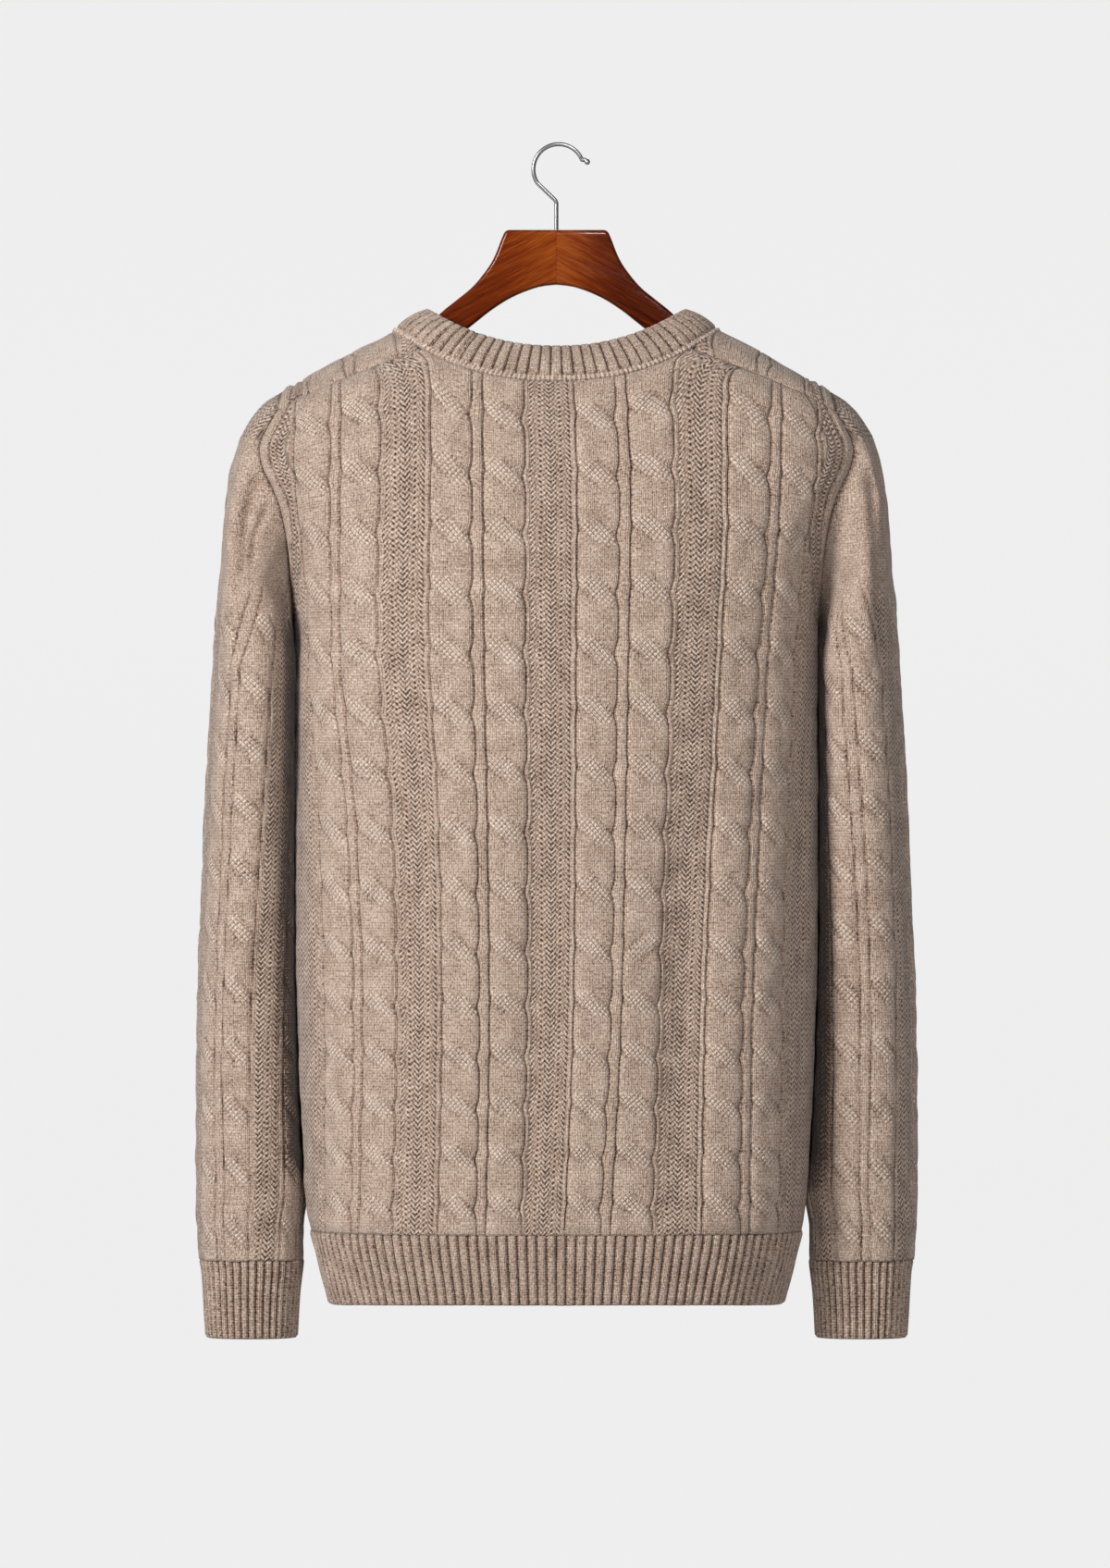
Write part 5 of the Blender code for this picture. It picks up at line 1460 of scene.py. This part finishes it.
def cuff_piece(sleeve, name, left, finish):
    """A cuff's rib, of two columns of stitches to a rib."""
    size = along(sleeve.level_ring(CUFF_TOP, np.linspace(0, 1, 121)[:-1]), True)[-1]
    count = round(size / CUFF_RIB_PITCH)
    ribs = np.arange(count * CUFF_FINE) / CUFF_FINE
    share = ribs / count
    heights = np.linspace(CUFF_END, CUFF_TOP - CLOSE, CUFF_ROWS)
    points = np.array([sleeve.level_ring(z, 1 - share if left else share) for z in heights])
    if left:
        points = points * [-1, 1, 1]
    return rib_piece(name, points, heights, ribs, count, CUFF_RIB_PITCH, 2, (2.1, 0.95), finish)


COLLAR_JOIN_TURN = 0.905  # where the collar's two ends are sewn together
NECK_SEAM = 731.0  # length of the neck seam
LINK = 3.44  # from one link of the row at the collar's foot to the next


def collar_piece(finish):
    """The ribbed collar, with a row of links at its foot and a sewn join at the back."""
    seam = NECK.line(-SEAM)
    count = len(seam)
    ribs = np.arange(count // 2 * COLLAR_FINE) / COLLAR_FINE
    closed = np.vstack([seam, seam[:1]])
    turns = np.interp(ribs * 2, np.arange(count + 1), [*NECK.turns, 1.0])
    at = np.arange(count + 1)
    base = np.stack([np.interp(ribs * 2, at, closed[:, i]) for i in range(3)], axis=1)
    top = np.array([collar_top_point(t) for t in turns])
    rise = unit(top - base)
    run = unit(np.roll(base, -1, axis=0) - np.roll(base, 1, axis=0))
    band = unit(np.cross(run, rise))
    shares = np.linspace(0, 1, COLLAR_ROWS)
    points = []
    for share in shares:
        swell = COLLAR_SWELL * math.sin(math.pi * share * 0.9)
        points.append(base + (top - base) * share + band * swell)
    points = np.array(points)
    across = np.repeat(ribs[None] + 0.5, len(shares), axis=0)
    level = shares[:, None] + np.zeros_like(across)
    width = np.linalg.norm(top - base, axis=1)[None, :]
    height = level * width
    above = smooth((height - 4.2) / 1.2)
    ends = smooth((len(shares) - 0.2 - np.arange(len(shares))[:, None]) / 1.6)
    relief = rib_relief(across, COLLAR_RIB_PITCH, 2.0, 0.85) * above * ends
    run_mm = across * COLLAR_RIB_PITCH
    links = np.cos(2 * math.pi * run_mm / LINK)
    link = (1.9 + 0.9 * links) * bell(height - 2.2, 1.7, 4)
    relief = np.maximum(relief, link * (1 - above)) - 0.5 * bell(height - 4.6, 0.7)
    join = np.abs(turns - COLLAR_JOIN_TURN)[None, :] * NECK_SEAM
    stitch = bell(join, 1.3) * above
    relief = relief * (1 - 0.8 * stitch) + stitch * np.cos(2 * math.pi * height / 2.6)
    uv = np.stack([across * 4 * WALE, height], axis=-1)
    masks = rib_masks(across, COLLAR_RIB_PITCH)
    # Painted shade in the dip above the links and along the sewn join; the links are painted lighter, a
    # painted highlight, through a negative crease mask.
    masks[..., 3] = masks[..., 3] * above + 0.4 * bell(height - 4.8, 0.6) + 0.7 * stitch
    masks[..., 2] = -(0.25 + 0.75 * links) * (1 - above)
    normals = grid_normals(points, True)
    wrap = count // 2 * 4 * WALE
    return cloth_piece("collar", points, normals, relief, uv, masks, finish, COLLAR_WALL, wrap)


# ---- Finishes


class Value:
    """A shader output that can be added, taken away, multiplied and divided."""

    def __init__(self, shader, output):
        self.shader = shader
        self.output = output

    def sibling(self, index):
        """Another output of the same node."""
        return Value(self.shader, self.output.node.outputs[index])

    def math(self, operation, *others):
        return self.shader.node("ShaderNodeMath", {"operation": operation}, [self, *others])

    def __add__(self, other):
        return self.math("ADD", other)

    def __sub__(self, other):
        return self.math("SUBTRACT", other)

    def __mul__(self, other):
        return self.math("MULTIPLY", other)

    def __truediv__(self, other):
        return self.math("DIVIDE", other)

    def __pow__(self, other):
        return self.math("POWER", other)

    def __rsub__(self, other):
        return self.shader.node("ShaderNodeMath", {"operation": "SUBTRACT"}, [other, self])

    __radd__ = __add__
    __rmul__ = __mul__


class Shader:
    """A material's nodes."""

    def __init__(self, name, **constants):
        self.material = bpy.data.materials.new(name)
        self.material.use_nodes = True
        self.tree = self.material.node_tree
        self.surface = self.tree.nodes["Principled BSDF"]
        for key, value in constants.items():
            self.surface.inputs[key.replace("_", " ")].default_value = value

    def node(self, kind, settings, inputs, output=0):
        made = self.tree.nodes.new(kind)
        for key, value in settings.items():
            if key == "stops":
                self.set_stops(made, value)
            else:
                setattr(made, key, value)
        pairs = inputs.items() if isinstance(inputs, dict) else enumerate(inputs)
        for key, value in pairs:
            self.feed(made.inputs[key], value)
        return Value(self, made.outputs[output])

    def split(self, kind, value):
        """The three parts of a vector or a colour."""
        first = self.node(kind, {}, [value])
        return first, first.sibling(1), first.sibling(2)

    def set_stops(self, made, stops):
        ramp = made.color_ramp
        while len(ramp.elements) < len(stops):
            ramp.elements.new(1.0)
        for element, (at, colour) in zip(ramp.elements, stops):
            element.position = at
            element.color = (*colour, 1.0)

    def feed(self, socket, value):
        if isinstance(value, Value):
            self.tree.links.new(value.output, socket)
        else:
            socket.default_value = value

    def set(self, name, value):
        self.feed(self.surface.inputs[name], value)

    def noise(self, place, scale, detail, **more):
        inputs = {"Vector": place, "Scale": scale, "Detail": detail, **more}
        return self.node("ShaderNodeTexNoise", {}, inputs)

    def spot(self, *parts):
        return self.node("ShaderNodeCombineXYZ", {}, parts)

    def ramp(self, name, stops, value):
        self.set(name, self.node("ShaderNodeValToRGB", {"stops": stops}, [value]))

    def bump(self, strength, distance, height):
        inputs = {"Strength": strength, "Distance": distance, "Height": height}
        self.set("Normal", self.node("ShaderNodeBump", {}, inputs))

    def object_place(self):
        return self.node("ShaderNodeTexCoord", {}, {}, 3)


def lerp(a, b, t):
    return a + (b - a) * t


def stitches(u, v, wale, course, slant, split):
    """Leaning stitches in columns, from 0 in the gaps to 1 on the yarn."""
    aside = ((u / wale).math("FRACT") - 0.5).math("ABSOLUTE") * 2
    legs = (aside * 2 - 1) ** 2 * split
    body = (1 - aside**9) * (1 - legs)
    wave = ((v / course + aside * slant) * (2 * math.pi)).math("COSINE") * 0.5 + 0.5
    return body * (wave * 0.6 + 0.4)


def knit_finish(name, shades, clear):
    """Mixed wool, from its shadow to its palest fibre; clear is how much the stitches show."""
    dull = {"Roughness": 0.92, "Specular_IOR_Level": 0.15}
    shader = Shader(name, Sheen_Weight=0.2, Sheen_Roughness=0.6, **dull)
    place = shader.node("ShaderNodeUVMap", {"uv_map": "stitches"}, {})
    u, v, _ = (axis * (1 / UV_SCALE) for axis in shader.split("ShaderNodeSeparateXYZ", place))
    masks = shader.node("ShaderNodeVertexColor", {"layer_name": "knit"}, {})
    moss, lean, crease_shade = shader.split("ShaderNodeSeparateColor", masks)
    groove = masks.sibling(1)
    lean = lean * 2 - 1
    patch = lean.math("ABSOLUTE")
    sign = lean.math("SIGN")

    plain = stitches(u, v, WALE, 1.9, 0.5, 0.75)
    # On the strand that lies on top the columns lean by an eighth of a turn
    crossed = stitches((u + v * sign) * 0.7071, (v - u * sign) * 0.7071, 2.9, 3.0, 0.3, 0.25)
    row = v * (2 * math.pi / MOSS_ROWS)
    aside = ((u / MOSS_COLUMN).math("FRACT") - 0.5).math("ABSOLUTE") * 2
    hooks = (row + aside * 5.0).math("COSINE") * 0.5 + 0.5
    gaps = (aside**5 + (1 - aside) ** 6 * 0.7) * ((row + 1.2).math("COSINE") * 0.5 + 0.5)
    dots = ((u + row.math("SINE") * 0.42) * (2 * math.pi / MOSS_DOT)).math("COSINE") * row.math("COSINE")
    pebbles = hooks * 0.5 + dots * 0.3 - gaps * 0.4 + 0.2
    level = lerp(lerp(plain, crossed, patch), pebbles, moss)
    height = level * (0.45 + patch * 0.55 + moss * 0.7)

    spot = shader.spot(u * 0.75, v * 0.5, moss)
    fibre = shader.noise(spot, 1.0, 3.0, Roughness=0.7)
    cloud = shader.noise(shader.spot(u * 0.09, v * 0.06, 3.0), 1.0, 2.0)
    tone = (fibre - 0.5) * 2.0 + (cloud - 0.5) * 0.5 + 0.5
    contrast = clear + patch * 0.3 + moss * 0.4
    # Painted light and shade: the stitches' yarn is lighter and their gaps darker, the moss a little darker,
    # and the masks of creases, grooves and seams darken the wool, while a negative crease mask paints the
    # collar's links lighter.
    shade = tone + (level - 0.45) * contrast - moss * 0.04 - crease_shade * 0.3 - groove * 0.42
    shader.ramp("Base Color", shades, shade)
    fuzz = shader.noise(spot, 5.0, 2.0)
    shader.bump(1.0, MM, height + fuzz * 0.25)
    return shader.material


def wood_finish():
    """Red-brown wood whose grain follows each arm, with a thin joint in the middle."""
    shader = Shader("lacquered_wood", Coat_Weight=0.35, Coat_Roughness=0.07, Specular_IOR_Level=0.1)
    x, y, z = (axis * (1 / MM) for axis in shader.split("ShaderNodeSeparateXYZ", shader.object_place()))
    out = x.math("ABSOLUTE")
    side = x.math("SIGN")
    across = z + out * 0.52
    spot = shader.spot(out * 0.014 + side * 4.0, y * 0.1, across * 0.2)
    grain = shader.noise(spot, 1.6, 6.0, Roughness=0.6)
    lines = shader.spot(out * 0.06 + side * 7.0, y * 0.4, across * 1.3)
    pores = shader.noise(lines, 1.4, 4.0)
    joint = (x / 0.5) ** 2
    middle = (0.0 - (out / 32.0) ** 2).math("EXPONENT")
    # The right arm is painted darker than the left, a painted shade; the wood is also lighter towards the
    # middle.
    tone = grain * 0.5 + pores * 0.5 - 0.12 + middle * 0.22 - side * (1 - middle) * 0.05
    tone = tone - (0.0 - joint).math("EXPONENT") * 0.05
    stops = [(0.25, (0.035, 0.004, 0.001)), (0.5, (0.14, 0.02, 0.002)), (0.8, (0.36, 0.085, 0.009))]
    shader.ramp("Base Color", stops, tone)
    shader.set("Roughness", pores * 0.08 + 0.16)
    shader.bump(0.25, 0.4 * MM, pores)
    return shader.material


def steel_finish():
    shader = Shader("nickel_wire", Base_Color=(0.36, 0.36, 0.37, 1.0), Metallic=1.0)
    smudge = shader.noise(shader.object_place(), 90.0, 2.0)
    shader.set("Roughness", smudge * 0.1 + 0.27)
    return shader.material


# ---- Hanger


def smooth_line(points, count):
    """The same line with more points, evenly spaced and rounded by its neighbours."""
    line = np.array([(x, 0.0, z) for x, z in points])
    length = along(line)
    at = np.linspace(0, length[-1], count)
    x = curve(length, line[:, 0])(at)
    z = curve(length, line[:, 2])(at)
    return list(zip(x.tolist(), z.tolist()))


def wood_piece(finish):
    """The flat wood: its outline, made thick and rounded along the edges."""
    upper = [*WOOD_UPPER, *[(x, arm_top(x)) for x in REST_XS]]
    tip = (ARM_END, upper[-1][1] - 7.0)
    foot = (ARM_END - 2.0, tip[1] - 8.0)
    right = [*smooth_line(upper, 60), tip, foot, *smooth_line(WOOD_LOWER, 50)[::-1]]
    outline = right + [(-x, z) for x, z in reversed(right[:-1])]
    mesh = bpy.data.meshes.new("hanger_wood_piece")
    points = [(x * MM, -WOOD_THICKNESS / 2 * MM, z * MM) for x, z in outline]
    mesh.from_pydata(points, [], [list(range(len(points)))[::-1]])
    made = put("hanger_wood_piece", mesh)
    mesh.materials.append(finish)
    thick = made.modifiers.new("thickness", "SOLIDIFY")
    thick.thickness = WOOD_THICKNESS * MM
    thick.offset = -1.0
    bevel = made.modifiers.new("rounded", "BEVEL")
    bevel.width = WOOD_BEVEL * MM
    bevel.segments = 5
    bevel.limit_method = "ANGLE"
    bevel.angle_limit = math.radians(60)
    bpy.context.view_layer.objects.active = made
    made.select_set(True)
    bpy.ops.object.modifier_apply(modifier="thickness")
    bpy.ops.object.modifier_apply(modifier="rounded")
    bpy.ops.object.mode_set(mode="EDIT")
    bpy.ops.mesh.select_all(action="SELECT")
    bpy.ops.mesh.normals_make_consistent(inside=False)
    bpy.ops.object.mode_set(mode="OBJECT")
    bpy.ops.object.shade_smooth_by_angle(angle=math.radians(40))
    made.select_set(False)
    return made


TIP_BALL = 2.1  # half across the ball at the wire's end
HOOK_NECK = -38.6  # where the wire leaves the stem for the round of the hook


def hook_line():
    """Middle line of the wire: the stem, a straight slant, the round and the turned-up tip."""
    centre = (HOOK_SHIFT, -HOOK_RADIUS - WIRE / 2 + 2.6)
    leave, reach = math.radians(213), math.radians(22)
    turn = np.linspace(leave, reach, 60)
    arc = centre + HOOK_RADIUS * np.stack([np.cos(turn), np.sin(turn)], axis=1)
    stem = np.array([(0.0, z) for z in np.linspace(WOOD_TOP + SEAM * 2, HOOK_NECK - 4.0, 12)])
    corner = np.array([(0.0, HOOK_NECK - 2.5), (-0.4, HOOK_NECK - 1.2), (-1.4, HOOK_NECK + 0.3)])
    share = np.linspace(0.08, 0.97, 10)[:, None]
    slant = corner[-1] + (arc[0] - corner[-1]) * share
    tip = np.array([(20.2, -10.0), (21.6, -11.2), (23.0, -11.9), (24.0, -12.2)])
    return np.vstack([stem, corner, slant, arc, tip])


def hook_piece(finish):
    """The bent wire, with a ball at its end."""
    wire = bpy.data.curves.new("hanger_hook_piece", "CURVE")
    wire.dimensions = "3D"
    wire.bevel_depth = WIRE / 2 * MM
    wire.bevel_resolution = 5
    wire.use_fill_caps = True
    spline = wire.splines.new("POLY")
    route = hook_line()
    length = along(route)
    near_end = np.linspace(length[-1] - 4.6, length[-1], 16)
    at = np.concatenate([np.linspace(0, length[-1] - 5, 140), near_end])
    line = np.stack([spline_through(length, route[:, i], at) for i in (0, 1)], axis=1)
    past = (at - length[-1]) / TIP_BALL + 1
    ball = TIP_BALL / (WIRE / 2) * np.sqrt(np.clip(1 - past**2, 0.0004, 1))
    radii = np.where(past < 0, np.maximum(ball, 1.0), ball)
    spline.points.add(len(line) - 1)
    for point, (x, z), radius in zip(spline.points, line, radii):
        point.co = (x * MM, 0, z * MM, 1)
        point.radius = radius
    wire.materials.append(finish)
    made = put("hanger_hook_piece", wire)
    bpy.context.view_layer.objects.active = made
    made.select_set(True)
    bpy.ops.object.convert(target="MESH")
    bpy.ops.object.shade_smooth_by_angle(angle=math.radians(50))
    made.select_set(False)
    return made


def spline_through(length, values, at):
    """A Catmull-Rom curve through the values."""
    i = np.clip(np.searchsorted(length, at) - 1, 0, len(length) - 2)
    step = length[i + 1] - length[i]
    t = (at - length[i]) / step
    lean = np.gradient(values, length)
    a, b = values[i], values[i + 1]
    m, n = lean[i] * step, lean[i + 1] * step
    t2, t3 = t * t, t * t * t
    return (2 * t3 - 3 * t2 + 1) * a + (t3 - 2 * t2 + t) * m + (3 * t2 - 2 * t3) * b + (t3 - t2) * n


# ---- The studio

FLOOR_LEVEL = -2.0  # the studio is in metres, and the garment hangs above its floor
WALL_AWAY, WALL_HEIGHT, CURVE_RADIUS = 11.0, 12.0, 2.0


def backdrop():
    """A pale floor that curves up into a wall, far enough behind that the garment is seen from there too."""
    finish = Shader("pale_backdrop", Roughness=0.95, Specular_IOR_Level=0.0, Emission_Strength=1.0)
    back = finish.split("ShaderNodeSeparateXYZ", finish.object_place())[1]
    reach = [back, WALL_AWAY - 3.2, WALL_AWAY - 0.9, 0.0, 1.0]
    wall = finish.node("ShaderNodeMapRange", {"interpolation_type": "SMOOTHSTEP"}, reach)
    glow = [(0.0, (0.02, 0.02, 0.02)), (1.0, (0.79, 0.79, 0.79))]
    paint = [(0.0, (0.75, 0.75, 0.75)), (1.0, (0.18, 0.18, 0.18))]
    finish.ramp("Emission Color", glow, wall)
    finish.ramp("Base Color", paint, wall)
    profile = [(-WALL_AWAY, 0.0), (WALL_AWAY - CURVE_RADIUS, 0.0)]
    for k in range(1, 17):
        angle = math.pi / 2 * k / 16
        out, up = CURVE_RADIUS * math.sin(angle), CURVE_RADIUS * (1 - math.cos(angle))
        profile.append((WALL_AWAY - CURVE_RADIUS + out, up))
    profile.append((WALL_AWAY, WALL_HEIGHT))
    points = [(x, y, z + FLOOR_LEVEL) for y, z in profile for x in (-WALL_AWAY, WALL_AWAY)]
    faces = [(2 * k, 2 * k + 1, 2 * k + 3, 2 * k + 2) for k in range(len(profile) - 1)]
    mesh = bpy.data.meshes.new("backdrop")
    mesh.from_pydata(points, [], faces)
    mesh.shade_smooth()
    mesh.materials.append(finish.material)
    made = put("backdrop", mesh)
    made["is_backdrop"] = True


GARMENT_MIDDLE = (0, 0, -0.45)


def lamp(name, place, size, watts, colour):
    """A soft lamp turned to the garment."""
    light = bpy.data.lights.new(name, "AREA")
    light.shape = "RECTANGLE"
    light.size, light.size_y = size
    light.energy = watts
    light.color = colour
    made = put(name, light)
    made.location = place
    towards = Vector(GARMENT_MIDDLE) - Vector(place)
    made.rotation_euler = towards.to_track_quat("-Z", "Y").to_euler()


CAMERA_AWAY = 8.5
CAMERA_ASIDE, CAMERA_LEVEL = -0.001, -0.4554
FRAME_HEIGHT = 1.1187  # of the picture, at the garment


def studio():
    """The backdrop, the lamps and the camera."""
    backdrop()
    lamp("key", (-3.1, -3.3, 1.2), (1.1, 1.8), 222.0, (1.0, 0.985, 0.965))
    lamp("front", (0.9, -4.6, 2.2), (1.0, 1.0), 125.0, (1.0, 0.99, 0.975))
    world = bpy.data.worlds.new("studio")
    bpy.context.scene.world = world
    world.use_nodes = True
    sky = world.node_tree.nodes["Background"].inputs
    sky["Color"].default_value = (0.9, 0.92, 0.95, 1.0)
    sky["Strength"].default_value = 0.1
    view = bpy.data.cameras.new("camera")
    view.sensor_fit = "VERTICAL"
    view.angle = 2 * math.atan(FRAME_HEIGHT / 2 / CAMERA_AWAY)
    view.clip_end = 60.0
    made = put("camera", view)
    made.location = (CAMERA_ASIDE, -CAMERA_AWAY, CAMERA_LEVEL)
    made.rotation_euler = (math.pi / 2, 0, 0)
    bpy.context.scene.camera = made
    bpy.context.scene.view_settings.view_transform = "Standard"


# Wool from its shadow to its palest fibre
SHADOW = (0.0, (0.035, 0.018, 0.011))
WOOL = (
    SHADOW,
    (0.25, (0.24, 0.155, 0.112)),
    (0.55, (0.42, 0.31, 0.242)),
    (1.0, (0.74, 0.62, 0.53)),
)
RIB_WOOL = (
    SHADOW,
    (0.25, (0.22, 0.14, 0.1)),
    (0.55, (0.39, 0.285, 0.222)),
    (1.0, (0.7, 0.58, 0.495)),
)


def place_piece(piece, node):
    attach(piece, "root")
    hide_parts(node)


def place_cloth(piece, node):
    """A piece of cloth, attached to the root with its solid hidden."""
    place_piece(piece, node)


def main():
    knit = knit_finish("melange_knit", WOOL, 0.45)
    rib = knit_finish("melange_rib", RIB_WOOL, 0.5)
    collar_rib = knit_finish("melange_collar_rib", WOOL, 0.5)
    back = back_surface()
    front = front_surface()
    sleeve = Sleeve(armhole_line(back[1], front[1]))
    place_cloth(face_piece("back", back, knit), "back_panel")
    place_cloth(face_piece("front", front, knit), "front_panel")
    for side, left in (("left", True), ("right", False)):
        name = "sleeve_" + side
        place_cloth(sleeve_piece(sleeve, name, left, knit), name)
        name = "cuff_" + side
        place_cloth(cuff_piece(sleeve, name, left, rib), name)
    place_cloth(hem_piece(rib), "hem_rib")
    place_cloth(collar_piece(collar_rib), "collar")
    place_piece(wood_piece(wood_finish()), "hanger_wood")
    place_piece(hook_piece(steel_finish()), "hanger_hook")
    studio()


main()
bpy.context.view_layer.update()
boxes = {"cad": cad_box, "scene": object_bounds()}
boxes = {key: [[float(c) for c in corner] for corner in box] for key, box in boxes.items()}
